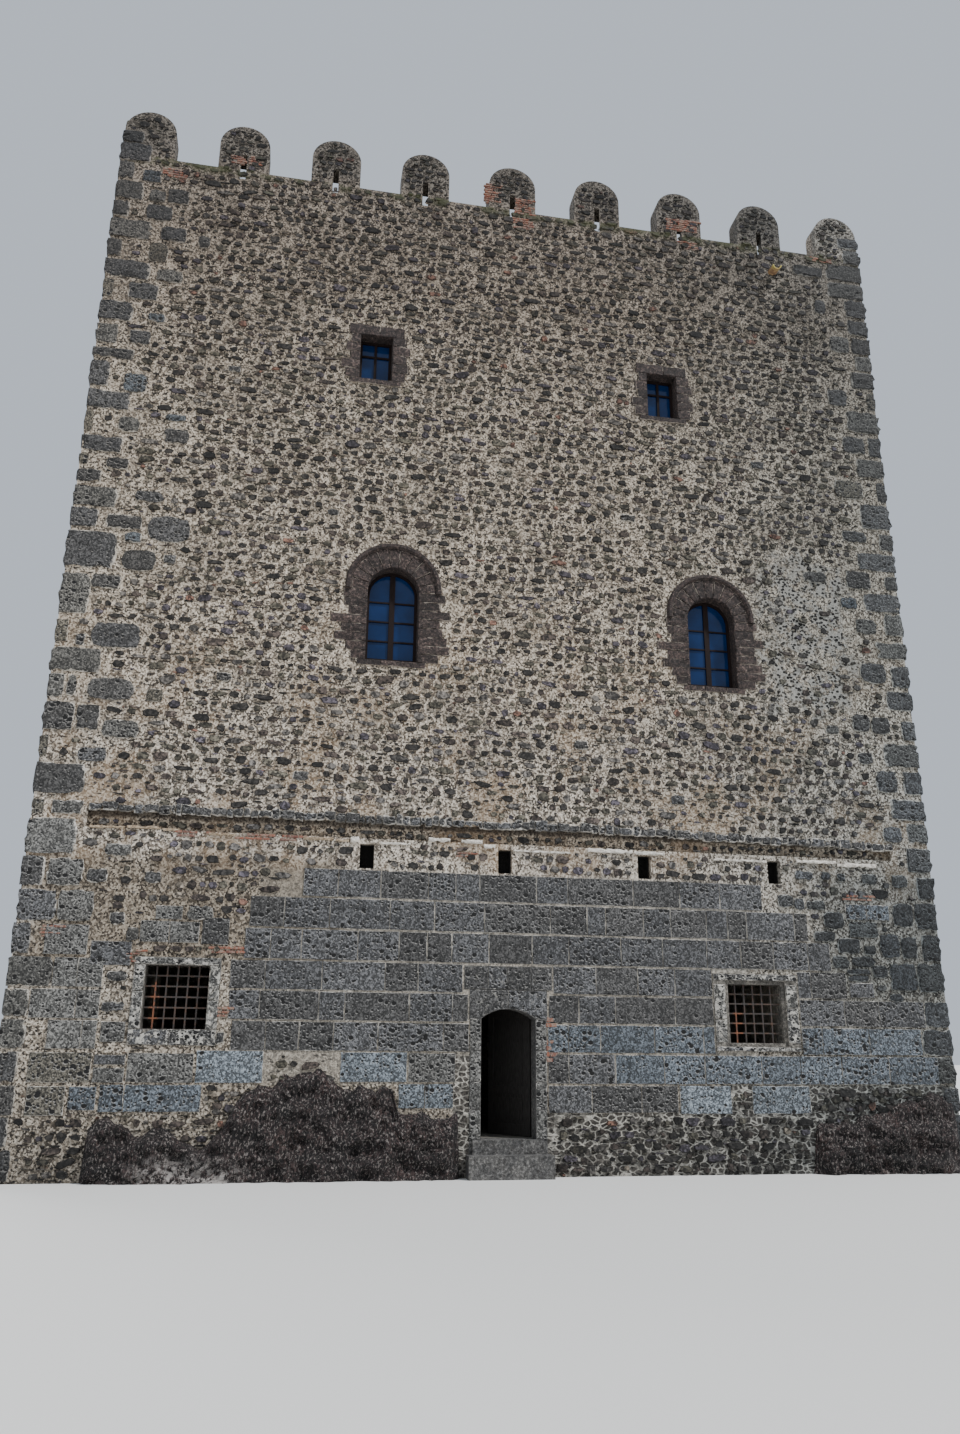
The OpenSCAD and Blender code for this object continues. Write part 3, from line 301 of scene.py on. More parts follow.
# The portrait's camera: place, then turn, tilt and roll in radians, then lens and sensor in millimetres,
# and how far it sees in metres
CAMERA_PLACE = (-4.1424, -23.203, 2.087)
CAMERA_TURN, CAMERA_TILT, CAMERA_ROLL = 0.1823, 0.3034, 0.0087
CAMERA_LENS, CAMERA_SENSOR, CAMERA_REACH = 26.563, 36.0, 500
# Suns of the studio: name, strength, then width, bearing and height in degrees
SUNS = (("key", 3.5, 4, 52, 52), ("fill", 0.3, 60, -40, 30), ("back", 1.2, 40, 200, 45))
# Half width of the studio's floor
STUDIO_HALF = 150


def tint(code):
    """A colour written as RRGGBB, in linear light."""
    parts = [int(code[i:i + 2], 16) / 255 for i in (0, 2, 4)]
    return (*(p / 12.92 if p <= 0.04045 else ((p + 0.055) / 1.055) ** 2.4 for p in parts), 1.0)


def colour_prop(name, description, code):
    return bpy.props.FloatVectorProperty(name=name, description=description, subtype="COLOR", size=4,
                                         min=0.0, max=1.0, default=tint(code))


def length_prop(name, description, default, low, high):
    return bpy.props.FloatProperty(name=name, description=description, default=default, min=low, max=high,
                                   unit="LENGTH", subtype="DISTANCE")


class KeepSizes(bpy.types.PropertyGroup):
    """Sizes of the stones that dress the keep."""
    row_low: length_prop("Lowest rubble row", "Height of the lowest rows of rubble", 0.165, 0.05, 0.3)
    row_high: length_prop("Highest rubble row", "Height of the highest rows of rubble", 0.235, 0.06, 0.4)
    stone_width: length_prop("Rubble width", "Usual width of a rubble stone", 0.19, 0.05, 0.4)
    stone_relief: length_prop("Rubble relief", "How far rubble stands out of the mortar", 0.04, 0.005, 0.06)
    block_proud: length_prop("Block relief", "How far squared blocks stand out", 0.014, 0.005, 0.03)
    block_joint: length_prop("Block joint", "Width of the joint between squared blocks", 0.007, 0.004, 0.04)
    quoin_proud: length_prop("Corner relief", "How far corner stones stand out", 0.03, 0.01, 0.06)
    seed: bpy.props.IntProperty(name="Seed", description="Seed of the stones' shapes and places",
                                default=11, min=0)


class KeepColours(bpy.types.PropertyGroup):
    """Colours of the keep's materials."""
    mortar_light: colour_prop("Light mortar", "Lime mortar in the light", "b7ab9b")
    mortar_dark: colour_prop("Dark mortar", "Weathered mortar", "6f665b")
    mortar_tan: colour_prop("Tan mortar", "Warm mortar near the ledge", "a58b6e")
    stone_dark: colour_prop("Dark lava", "Darkest lava stone", "282624")
    stone_brown: colour_prop("Brown lava", "Brown lava stone", "3e3733")
    stone_grey: colour_prop("Grey lava", "Grey lava stone", "4f4c49")
    stone_blue: colour_prop("Purple lava", "Purplish lava stone", "3f3b41")
    block_dark: colour_prop("Squared blocks", "Weathered squared blocks", "4e4e4f")
    block_pale: colour_prop("Renewed blocks", "Blue-grey blocks of later repairs", "6b7278")
    window_stone: colour_prop("Window stone", "Red-brown stone of the windows", "342925")
    # The glass's colour is a painted reflection of a blue sky
    glass_sky_reflection: colour_prop("Glass", "Window glass under a blue sky", "0a2245")
    wood: colour_prop("Window wood", "Stained window frames", "1e110e")
    stain: colour_prop("Green stain", "Yellow-green stain on the copings", "45472b")


def face_half(side):
    return FACE_Y if side % 2 == 0 else FACE_X


def span_half(side):
    return FACE_X if side % 2 == 0 else FACE_Y


def on_side(side, u, w, z):
    """Points across a side, into its wall and up, as points of the frame."""
    u, w, z = np.broadcast_arrays(np.asarray(u, float), np.asarray(w, float), np.asarray(z, float))
    y = w - face_half(side)
    c, s = ((1, 0), (0, 1), (-1, 0), (0, -1))[side % 4]
    return np.stack([c * u - s * y, s * u + c * y, z], -1)


def round_corner(side, t, w, z):
    """Points along the line that turns from a side's right end onto the next side."""
    first = on_side(side, span_half(side) - w + t, w, z)
    second = on_side(side + 1, -span_half(side + 1) + w + t, w, z)
    return np.where((t <= 0)[..., None], first, second)


def merlon_places(side):
    count = MERLONS[side % 2]
    pitch = (2 * span_half(side) - MERLON_W) / (count - 1)
    return [(i - (count - 1) / 2) * pitch for i in range(count)]


class Stonework:
    """Gathers worn stones into one mesh. A point's rim is 1 in a joint and 0 on a stone's face."""

    def __init__(self, seed):
        self.rng = np.random.default_rng(seed)
        self.points, self.faces, self.tones, self.rims = [], [], [], []
        self.count = 0

    def slab(self, shape, width, height, front, back, tone, place, bevel=0.011, rough=0.005, step=0.15,
             pillow=0.005, joints=(1, 1, 1, 1), wander=0.5):
        """One stone: a grid over the unit square, bent by shape, with worn edges and sides into the wall."""
        rng = self.rng
        nu, nz = max(1, round(width / step)), max(1, round(height / step))
        s = np.r_[0, np.linspace(min(bevel / width, 0.3), 1 - min(bevel / width, 0.3), nu + 1), 1]
        t = np.r_[0, np.linspace(min(bevel / height, 0.3), 1 - min(bevel / height, 0.3), nz + 1), 1]
        across, up = np.meshgrid(s, t, indexing="ij")
        n, m = across.shape
        edge = np.zeros((n, m), bool)
        edge[[0, -1]] = True
        edge[:, [0, -1]] = True
        across = np.clip(across + rng.normal(0, wander * bevel / width, (n, m)), 0, 1)
        up = np.clip(up + rng.normal(0, wander * bevel / height, (n, m)), 0, 1)
        depth = front - pillow * (1 - (2 * across - 1) ** 4) * (1 - (2 * up - 1) ** 4)
        depth = depth + rng.normal(0, rough, (n, m)) * ~edge + edge * bevel * rng.uniform(0.5, 1.1, (n, m))
        rim = edge * 0.9
        rim[1:-1, 1:-1][[0, -1]] = np.maximum(rim[1:-1, 1:-1][[0, -1]], 0.3)
        rim[1:-1, 1:-1][:, [0, -1]] = np.maximum(rim[1:-1, 1:-1][:, [0, -1]], 0.3)
        for open_side, part in zip(joints, (np.s_[:2], np.s_[-2:], np.s_[:, :2], np.s_[:, -2:])):
            if not open_side:
                rim[part] = 0
        u, z = shape(across, up)
        loop = [i * m for i in range(n)] + [(n - 1) * m + j for j in range(1, m)]
        loop += [i * m + m - 1 for i in range(n - 2, -1, -1)] + [j for j in range(m - 2, 0, -1)]
        flat = lambda a: np.asarray(a).reshape(-1)
        u, z, depth, rim = flat(u), flat(z), flat(depth), flat(rim)
        u, z = np.r_[u, u[loop]], np.r_[z, z[loop]]
        depth = np.r_[depth, np.full(len(loop), back)]
        rim = np.r_[rim, rim[loop]]
        base = self.count
        k = n * m + np.arange(len(loop))
        i, j = np.meshgrid(np.arange(n - 1), np.arange(m - 1), indexing="ij")
        a = flat(i * m + j)
        faces = [tuple(f) for f in np.stack([a, a + m, a + m + 1, a + 1], 1) + base]
        ring, rear = np.array(loop) + base, k + base
        faces += [tuple(f) for f in np.stack([np.roll(ring, -1), ring, rear, np.roll(rear, -1)], 1)]
        faces.append(tuple(rear[::-1]))
        turn = (u[(n - 1) * m] - u[0]) * (z[m - 1] - z[0]) - (z[(n - 1) * m] - z[0]) * (u[m - 1] - u[0])
        if turn < 0:
            faces = [f[::-1] for f in faces]
        self.points.append(place(u, depth, z))
        self.faces += faces
        self.tones.append(np.full(len(u), tone))
        self.rims.append(rim)
        self.count += len(u)

    def block(self, side, left, right, low, high, tone, front, back=0.04, gap=0.008, **more):
        """A stone with straight sides on a wall."""
        shift = self.rng.uniform(-gap / 2, gap / 2, 4)
        left, right = left + gap + shift[0], right - gap + shift[1]
        low, high = low + gap + shift[2], high - gap + shift[3]
        self.slab(lambda s, t: (left + (right - left) * s, low + (high - low) * t), right - left, high - low,
                  front, back, tone, lambda u, w, z: on_side(side, u, w, z), **more)

    def boulder(self, side, left, right, low, high, tone, out=0.03, round_off=0.75):
        """A stone with a rounded outline."""
        width, height = right - left, high - low

        def shape(s, t):
            a, b = 2 * s - 1, 2 * t - 1
            return (left + width * (a * np.sqrt(1 - round_off * b * b / 2) + 1) / 2,
                    low + height * (b * np.sqrt(1 - round_off * a * a / 2) + 1) / 2)

        self.slab(shape, width, height, -out, 0.04, tone, lambda u, w, z: on_side(side, u, w, z),
                  bevel=0.03, rough=0.01, step=0.1, pillow=0.012, wander=0.7)

    def make(self, name, material):
        """The gathered stones as one piece that rides with the keep."""
        mesh = bpy.data.meshes.new(name)
        mesh.from_pydata(np.concatenate(self.points).tolist(), [], [list(map(int, f)) for f in self.faces])
        for title, values in (("tone", self.tones), ("rim", self.rims)):
            mesh.attributes.new(title, "FLOAT", "POINT").data.foreach_set("value", np.concatenate(values))
        return finished(name, mesh, material)


def finished(name, mesh, material, body="keep"):
    """A mesh as a piece of a body, kept within the solids' own reach."""
    points = np.empty(len(mesh.vertices) * 3, np.float32)
    mesh.vertices.foreach_get("co", points)
    low, high = (np.array(corner) for corner in CAD_BOX)
    points = np.clip(points.reshape(-1, 3), low + 0.001, high - 0.001)
    mesh.vertices.foreach_set("co", points.ravel())
    mesh.update()
    piece = bpy.data.objects.new(name, mesh)
    bpy.context.scene.collection.objects.link(piece)
    mesh.materials.clear()
    mesh.materials.append(material)
    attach(piece, body)
    return piece


class Taken:
    """Where rubble may not lie on a side: rectangles and discs, each as place and half size."""

    def __init__(self, side=None):
        self.boxes, self.discs = [], []
        if side is not None:
            self.windows(side % 2)
        if side == FRONT:
            self.front()

    def windows(self, end_wall):
        for u, sill in ARCHED[end_wall]:
            self.discs.append((u, sill + ARCH_RISE + RING_LIFT, HOOD_R + 0.02))
            self.jambs(u, sill + ARCH_RISE, ARCH_RISE, ARCH_HALF, ARCH_TEETH)
            self.beside(u, ARCH_HALF + ARCH_SILL_LAP, sill - SILL_H, sill)
        for u, sill in SQUARE[end_wall]:
            self.jambs(u, sill + SQUARE_H, SQUARE_H, SQUARE_HALF, SQUARE_TEETH)
            self.beside(u, SQUARE_HALF + LINTEL_LAP, sill + SQUARE_H, sill + SQUARE_H + LINTEL_H)
            self.beside(u, SQUARE_HALF + SQUARE_SILL_LAP, sill - SILL_H, sill)
        for u, sill, moulded in BARRED[end_wall]:
            width, over, under, _ = FRAME_EDGES[moulded]
            self.beside(u, BARRED_HALF + width, sill - under, sill + BARRED_H + over)

    def front(self):
        """Doorway, beam holes, chase and rock of the front."""
        self.beside(DOOR_U, LINTEL_HALF, 0, LINTEL_TOP + 0.025)
        self.beside(DOOR_U, DOOR_ROW_HALF + 0.0025, DOOR_ROW_LOW - 0.005, DOOR_ROW_HIGH + 0.015)
        for u in BEAM_HOLES:
            self.beside(u, *BEAM_HOLE)
        self.box(*CHASE[:2], *LEDGE_BAND)
        for outline in (ROCK_LEFT, ROCK_RIGHT):
            for (a, b), (c, d) in zip(outline, outline[1:]):
                if c > a:
                    self.box(a, c, 0, min(b, d) - 0.08)

    def jambs(self, u, head, tall, half, teeth):
        """Window jambs, whose stones reach into the wall by turns."""
        step = tall / len(teeth[0])
        for i, (left, right) in enumerate(zip(*teeth)):
            top = head - i * step
            self.box(u - half - left, u + half + right, top - step, top)

    def beside(self, u, half, low, high):
        self.box(u - half, u + half, low, high)

    def box(self, left, right, low, high):
        self.boxes.append(((left + right) / 2, (low + high) / 2, (right - left) / 2, (high - low) / 2))

    def free(self, u, z, half_u, half_z, margin=0.012):
        ok = np.ones(len(u), bool)
        for cu, cz, hu, hz in self.boxes:
            ok &= (abs(u - cu) > half_u + hu + margin) | (abs(z - cz) > half_z + hz + margin)
        for cu, cz, r in self.discs:
            ok &= np.hypot(u - cu, z - cz) > r + np.maximum(half_u, half_z) * 0.9 + margin
        return ok

    def clear_of(self, rows):
        return self.free(rows[ACROSS], rows[UP], rows[WIDE] / 2, rows[TALL] / 2)

    def gaps(self, left, right, low, high):
        """Free stretches of a course between what stands in it."""
        stops = [(cu - hu, cu + hu) for cu, cz, hu, hz in self.boxes
                 if abs(cz - (low + high) / 2) < hz + (high - low) / 2 - 0.03]
        free, at = [], left
        for a, b in sorted(stops):
            if a > at + 0.2 and a < right:
                free.append((at, a))
            at = max(at, b)
        if right > at + 0.2:
            free.append((at, right))
        return free


class Shade:
    """Short calls that build one material's nodes."""

    def __init__(self, name, rough=0.9, metal=0.0):
        self.material = bpy.data.materials.new(name)
        self.material.use_nodes = True
        tree = self.material.node_tree
        self.nodes, self.links = tree.nodes, tree.links
        self.surface = self.nodes["Principled BSDF"]
        self.surface.inputs["Roughness"].default_value = rough
        self.surface.inputs["Metallic"].default_value = metal
        self.place = self.nodes.new("ShaderNodeTexCoord").outputs["Object"]
        split = self.nodes.new("ShaderNodeSeparateXYZ")
        self.links.new(self.place, split.inputs[0])
        self.x, self.y, self.z = split.outputs

    def feed(self, socket, value):
        if isinstance(value, bpy.types.NodeSocket):
            self.links.new(value, socket)
        else:
            socket.default_value = value

    def math(self, operation, a, b=0.0, clamp=False):
        node = self.nodes.new("ShaderNodeMath")
        node.operation, node.use_clamp = operation, clamp
        self.feed(node.inputs[0], a)
        self.feed(node.inputs[1], b)
        return node.outputs[0]

    def times(self, a, b, clamp=False):
        return self.math("MULTIPLY", a, b, clamp)

    def plus(self, a, b):
        return self.math("ADD", a, b)

    def minus(self, a, b):
        return self.math("SUBTRACT", a, b)

    def most(self, a, b):
        return self.math("MAXIMUM", a, b)

    def wobble(self, strength, *noise):
        """Noise round zero, for edges that wander."""
        return self.times(self.minus(self.noise(*noise), 0.5), strength)

    def scrambled(self, value, factor):
        """Another random number out of a random number."""
        return self.math("FRACT", self.times(value, factor))

    def band(self, value, rise, fall):
        """1 between two soft limits, each given as where it starts and ends."""
        return self.times(self.between(value, *rise), self.between(value, *fall))

    def shaded(self, colour, by, factor=1.0):
        """A colour multiplied by another."""
        return self.mix(factor, colour, by, "MULTIPLY")

    def light(self, value, *stops):
        """Grey that follows a value, from pairs of place and brightness."""
        return self.ramp(value, [(place, grey(level)) for place, level in stops])

    def stretched(self, x=1.0, y=1.0, z=1.0):
        node = self.nodes.new("ShaderNodeMapping")
        node.inputs["Scale"].default_value = (x, y, z)
        self.links.new(self.place, node.inputs["Vector"])
        return node.outputs[0]

    def noise(self, scale, detail=3.0, rough=0.55, vector=None):
        node = self.nodes.new("ShaderNodeTexNoise")
        self.links.new(vector or self.place, node.inputs["Vector"])
        node.inputs["Scale"].default_value = scale
        node.inputs["Detail"].default_value = detail
        node.inputs["Roughness"].default_value = rough
        return node.outputs["Fac"]

    def cells(self, scale, vector=None, feature="F1"):
        node = self.nodes.new("ShaderNodeTexVoronoi")
        node.feature = feature
        self.links.new(vector or self.place, node.inputs["Vector"])
        node.inputs["Scale"].default_value = scale
        return node.outputs["Distance"], node.outputs.get("Color")

    def part(self, colour, channel=0):
        node = self.nodes.new("ShaderNodeSeparateColor")
        self.links.new(colour, node.inputs[0])
        return node.outputs[channel]

    def between(self, value, low, high, start=0.0, end=1.0):
        node = self.nodes.new("ShaderNodeMapRange")
        node.interpolation_type = "SMOOTHSTEP"
        self.feed(node.inputs["Value"], value)
        for title, number in (("From Min", low), ("From Max", high), ("To Min", start), ("To Max", end)):
            node.inputs[title].default_value = number
        return node.outputs[0]

    def mix(self, factor, a, b, blend="MIX"):
        node = self.nodes.new("ShaderNodeMix")
        node.data_type, node.blend_type = "RGBA", blend
        self.feed(node.inputs[0], factor)
        self.feed(node.inputs[6], a)
        self.feed(node.inputs[7], b)
        return node.outputs[2]

    def ramp(self, value, stops, sudden=False):
        node = self.nodes.new("ShaderNodeValToRGB")
        band = node.color_ramp
        band.interpolation = "CONSTANT" if sudden else "LINEAR"
        while len(band.elements) < len(stops):
            band.elements.new(0.5)
        for element, (position, colour) in zip(band.elements, stops):
            element.position = position
            element.color = colour
        self.feed(node.inputs[0], value)
        return node.outputs[0]

    def attribute(self, name):
        node = self.nodes.new("ShaderNodeAttribute")
        node.attribute_name = name
        return node.outputs["Fac"]

    def inside(self, left, right, low, high, soft=0.3, wobble=0.5):
        """1 within a patch of the front whose edge wanders, 0 outside it."""
        shake = self.wobble(wobble * 2, 1.6, 4)
        x, z = self.plus(self.x, shake), self.plus(self.z, shake)
        edges = [self.between(x, left - soft, left + soft),
                 self.between(x, right - soft, right + soft, 1, 0),
                 self.between(z, low - soft, low + soft), self.between(z, high - soft, high + soft, 1, 0),
                 self.between(self.y, *BEHIND_FACE, 1, 0)]
        total = edges[0]
        for part in edges[1:]:
            total = self.times(total, part)
        return total

    def bump(self, height, distance, strength=1.0, over=None):
        node = self.nodes.new("ShaderNodeBump")
        node.inputs["Distance"].default_value = distance
        node.inputs["Strength"].default_value = strength
        self.feed(node.inputs["Height"], height)
        if over is not None:
            self.links.new(over, node.inputs["Normal"])
        self.links.new(node.outputs[0], self.surface.inputs["Normal"])
        return node.outputs[0]

    def colour(self, value):
        self.feed(self.surface.inputs["Base Color"], value)
        return self.material


def grey(value):
    return (value, value, value, 1.0)


def weathered(s, colour):
    """Darkens and browns towards the top, greys towards the right end of the front."""
    height = s.ramp(s.math("DIVIDE", s.z, 22.0), (
        (0.0, tint("b9b8b6")), (0.07, tint("dcdad6")), (0.25, tint("ffffff")), (0.42, tint("fcf8f2")),
        (0.64, tint("e9e4dd")), (0.82, tint("c1bab3")), (0.915, tint("b0aaa6")), (0.93, tint("8f8d8c"))))
    colour = s.shaded(colour, height)
    colour = s.shaded(colour, (2.6, 2.6, 2.6, 1.0),
                      s.times(s.between(s.x, 7.3, 7.4), s.between(s.z, 20.1, 20.3)))
    edge = s.times(s.between(s.x, 1.0, 8.0), s.between(s.y, -4.0, -4.15))
    colour = s.shaded(colour, tint("ced7de"), s.times(edge, 0.9))
    return s.shaded(colour, tint("c9cdd0"), s.inside(*COLD_PATCH, 0.3, 0.3))


def grains(s, scale):
    """Random brightness of each grain of grit."""
    return s.part(s.cells(scale)[1], 2)


def stone_chips(s, c, colour, height):
    """Small flat chips of stone in the mortar, fewer of them between the courses and the ledge."""
    flat = s.stretched(1, 1, 2.6)
    few = s.minus(1.0, s.times(s.band(s.z, (3.2, 3.4), (5.75, 5.6)), 0.6))
    kinds = ((0, c.stone_dark), (0.45, c.stone_brown), (0.75, c.stone_grey), (0.88, c.stone_blue),
             (0.96, tint("6b5040")))
    for scale, share, size, strength in ((8.0, 0.6, 0.36, 0.75), (25.0, 0.5, 0.38, 0.55)):
        distance, random = s.cells(scale, flat)
        chosen = s.between(s.part(random, 0), share, share + 0.02)
        near = s.between(s.plus(distance, s.wobble(0.4, scale * 3, 2)), size - 0.12, size, 1, 0)
        mask = s.times(s.times(chosen, near), few)
        colour = s.mix(s.times(mask, strength), colour, s.ramp(s.part(random, 1), kinds, sudden=True))
        height = s.plus(height, s.times(mask, 0.4))
    return colour, height


def chase_painted_shade(s, colour):
    """Mortar in the chase darkened as painted shade of its recess, and a painted shadow under its ledge."""
    groove = s.times(s.band(s.y, (-4.2, -4.16), (-3.95, -4.05)), s.band(s.z, (5.66, 5.7), (6.05, 6.0)))
    # Painted shade: the mortar of the recessed chase is darkened
    colour = s.shaded(colour, tint("e2dcd4"), groove)
    # Painted shadow: a dark band under the ledge
    shadow = s.times(groove, s.between(s.z, 5.86, 5.94))
    return s.mix(s.times(shadow, 0.75), colour, tint("2a2420"))


def footing_finish(s, colour, height):
    """Dark stone in a net of pale veins, at the keep's foot and beside the doorway."""
    veins = s.cells(7.6, s.stretched(1, 1, 1.5), "DISTANCE_TO_EDGE")[0]
    wobble = s.wobble(0.22, 12, 4, 0.75)
    vein = s.between(s.plus(veins, wobble), 0.06, 0.14, 1, 0)
    vein = s.times(vein, s.between(s.noise(6, 4, 0.7), 0.4, 0.55, 0.25, 1))
    dark = s.mix(s.between(s.noise(14, 4, 0.8), 0.42, 0.6), tint("121110"), tint("686460"))
    footing = s.mix(s.times(vein, 0.95), dark, tint("efebe1"))
    rise = s.plus(s.z, s.times(wobble, 0.6))
    low = s.between(s.minus(rise, s.between(s.x, 3.8, 4.0, 0, 0.46)), 1.06, 1.0)
    low = s.times(low, s.most(s.between(s.x, 0.4, 0.6), s.between(s.y, *BEHIND_FACE)))
    low = s.most(low, s.inside(*VEINED_PATCH, 0.03, 0.03))
    colour = s.mix(s.times(low, 0.9), colour, footing)
    return colour, s.minus(height, s.times(s.times(vein, low), 0.8))


def beam_hole_shade(s, colour):
    """Deep shade inside the beam holes."""
    deep = s.times(s.between(s.y, -4.16, -4.05), s.band(s.z, (5.1, 5.12), (5.62, 5.6)))
    return s.mix(s.times(deep, s.between(s.y, -3.7, -3.8)), colour, tint("171513"))


def mortar(s, c, chips=True):
    """Colour and height of gritty lime mortar, with what is peculiar to places on the front."""
    grain, clouds, grit = grains(s, 34), s.noise(1.1, 4, 0.6), s.noise(38, 3, 0.7)
    mixed = s.plus(s.times(grain, 0.6), s.times(grit, 0.55))
    colour = s.ramp(mixed, ((0.28, tint("241f1b")), (0.43, c.mortar_dark), (0.6, c.mortar_light),
                            (0.78, tint("ece1d1"))))
    colour = s.mix(s.between(clouds, 0.35, 0.7, 0.0, 0.35), colour, c.mortar_dark)
    warm = s.times(s.between(s.noise(0.7, 5, 0.6), 0.47, 0.62), s.between(s.z, 12.5, 5.0))
    warm = s.times(warm, s.between(s.z, 4.7, 5.3))
    colour = s.mix(s.times(warm, 0.5), colour, c.mortar_tan)
    other_sides = s.times(s.between(s.y, *BEHIND_FACE), s.between(s.z, 5.2, 5.0))
    jointed = s.most(s.inside(*JOINTED_PATCH, 0.1, 0.1), other_sides)
    colour = s.mix(s.times(jointed, 0.4), colour, tint("c4beb3"))
    height = s.plus(s.times(grit, 0.8), s.times(grain, 0.3))
    if chips:
        colour, height = stone_chips(s, c, colour, height)
    colour = s.shaded(chase_painted_shade(s, colour), tint("cac6c0"), s.inside(*GREY_MORTAR_PATCH, 0.2, 0.3))
    colour, height = footing_finish(s, colour, height)
    return beam_hole_shade(s, colour), height


def white_patch(s, colour):
    """Old white plaster with dark pocks beside the right arched window."""
    patch = s.inside(*WHITE_PATCH, 0.3, 0.9)
    distance, random = s.cells(14, s.stretched(1, 1, 1.2))
    pocks = s.times(s.between(s.plus(distance, s.wobble(0.5, 40, 3)), 0.43, 0.51, 1, 0),
                    s.between(s.part(random), 0.05, 0.07))
    white = s.mix(pocks, s.mix(s.noise(30, 3), tint("77746e"), tint("ded9d1")), tint("100f0e"))
    return s.mix(s.times(patch, s.between(s.noise(3.5, 5, 0.75), 0.44, 0.52)), colour, white)


def green_stain(s, colour, c):
    """Yellow-green stain on copings and other faces that look up, near the top."""
    normal = s.nodes.new("ShaderNodeNewGeometry").outputs["Normal"]
    split = s.nodes.new("ShaderNodeSeparateXYZ")
    s.links.new(normal, split.inputs[0])
    upward = s.between(split.outputs[2], 0.15, 0.6)
    rim = s.times(s.between(s.z, CRENEL - 0.3, CRENEL - 0.02), s.between(s.z, CRENEL + 0.06, CRENEL, 0, 1))
    where = s.most(s.times(upward, s.between(s.z, 18, 19)), s.times(rim, 0.8))
    patches = s.between(s.noise(3.2, 5, 0.65), 0.42, 0.6)
    return s.mix(s.times(where, patches), colour, c.stain)


def mortar_material(c):
    s = Shade("rubble mortar", 0.95)
    colour, height = mortar(s, c)
    colour = weathered(s, white_patch(s, colour))
    s.bump(height, 0.03, 1.0)
    return s.colour(green_stain(s, colour, c))


def lava_tone(s, c):
    """Colour and brightness of each rubble stone, from its tone."""
    tone = s.attribute("tone")
    colour = s.ramp(tone, ((0, c.stone_dark), (0.26, c.stone_brown), (0.44, c.stone_grey),
                           (0.66, c.stone_blue), (0.76, tint("45423a")), (0.975, tint("5e463c")),
                           (0.99, tint("8d8376"))), sudden=True)
    return s.shaded(colour, s.light(s.scrambled(tone, 37.3), (0, 0.5), (1, 1.35)))


def rubble_material(c):
    """Lava stones with painted shade in the crevice round their rims, whose ragged edges fade into the
    mortar.
    """
    s = Shade("rubble stones", 0.92)
    ground = white_patch(s, mortar(s, c, chips=False)[0])
    rough = s.plus(s.times(grains(s, 24), 0.5), s.times(s.noise(20, 4, 0.8), 0.6))
    colour = s.shaded(lava_tone(s, c), s.light(rough, (0.25, 0.25), (0.5, 0.85), (0.78, 2.9)))
    ragged = s.plus(s.attribute("rim"), s.wobble(1.35, 18, 4, 0.7))
    # Painted shade: a dark band at each stone's ragged edge, just before the mortar, stands for the shade of
    # the crevice round it
    colour = s.mix(s.between(ragged, 0.2, 0.42, 0, 0.6), colour, tint("14110f"))
    bare = s.between(ragged, 0.56, 0.67)
    s.bump(s.plus(rough, s.times(bare, 0.3)), 0.025, 1.0)
    return s.colour(green_stain(s, weathered(s, s.mix(bare, colour, ground)), c))


def vesicles(s, share, scales=(8.5, 16.0), size=0.36, vector=None):
    """Pits of gas bubbles in lava: 1 in a pit."""
    total = None
    for scale in scales:
        distance, random = s.cells(scale, vector)
        spared = s.minus(0.68, s.times(share, 0.42))
        chosen = s.times(s.minus(s.part(random), spared), 2.6, clamp=True)
        pit = s.between(s.minus(distance, s.times(chosen, size)), 0.0, 0.03, 1, 0)
        total = pit if total is None else s.most(total, pit)
    return total


def block_material(c, name="squared blocks", quoin=False, lime=0.0):
    """Lava blocks with gas pits lit on their lower lips, whose rims fade into pale joints."""
    s = Shade(name, 0.85)
    tone = s.attribute("tone")
    colour = s.ramp(tone, ((0, c.block_dark), (0.16, tint("454443")), (0.32, tint("5b5a57")),
                           (0.53, tint("555b61")), (0.7, c.block_pale), (0.84, tint("5d5950"))), sudden=True)
    colour = s.shaded(colour, s.light(s.scrambled(tone, 53.7), (0, 0.66), (1, 1.06)))
    clouds = s.noise(3.4, 5, 0.65)
    colour = s.shaded(colour, tint("9a9894"), s.between(clouds, 0.4, 0.75, 0, 0.5))
    rough = s.plus(s.times(grains(s, 40), 0.45), s.times(s.noise(50, 3, 0.8), 0.65))
    colour = s.shaded(colour, s.light(rough, (0.3, 0.28), (0.52, 0.66), (0.74, 2.6)))
    bloom = s.between(s.noise(8.5, 5, 0.8), 0.58 - 0.07 * lime, 0.72 - 0.16 * lime, 0, 0.14 + 0.81 * lime)
    colour = s.mix(bloom, colour, tint("bab6ad"))
    share = s.scrambled(tone, 91.7)
    flat = s.stretched(1, 1, 1.25)
    # Painted highlight: the pits, shifted, mark each pit's lower lip, which is lightened as if lit from
    # above
    lip = s.nodes.new("ShaderNodeMapping")
    lip.inputs["Location"].default_value = (0.006, 0.0, 0.02)
    s.links.new(flat, lip.inputs["Vector"])
    pits, lips = vesicles(s, share, vector=flat), vesicles(s, share, vector=lip.outputs[0])
    colour = s.mix(s.times(lips, 0.35), colour, tint("c2bfba"))
    colour = s.mix(pits, colour, tint("0b0a0a"))
    joint = s.mix(s.between(s.noise(2.3, 4, 0.7), 0.4, 0.52), tint("6a6762"), tint("cbc6bd"))
    joint = s.shaded(joint, s.light(s.noise(28, 3), (0.3, 0.6), (0.7, 1.15)))
    ragged = s.plus(s.attribute("rim"), s.wobble(1.1, 13, 4, 0.7))
    bare = s.between(ragged, 0.62, 0.74)
    height = s.minus(s.plus(rough, s.times(clouds, 0.5)), pits)
    s.bump(height, 0.016, 1.0)
    colour = s.mix(bare, colour, joint)
    return s.colour(weathered(s, colour) if quoin else colour)


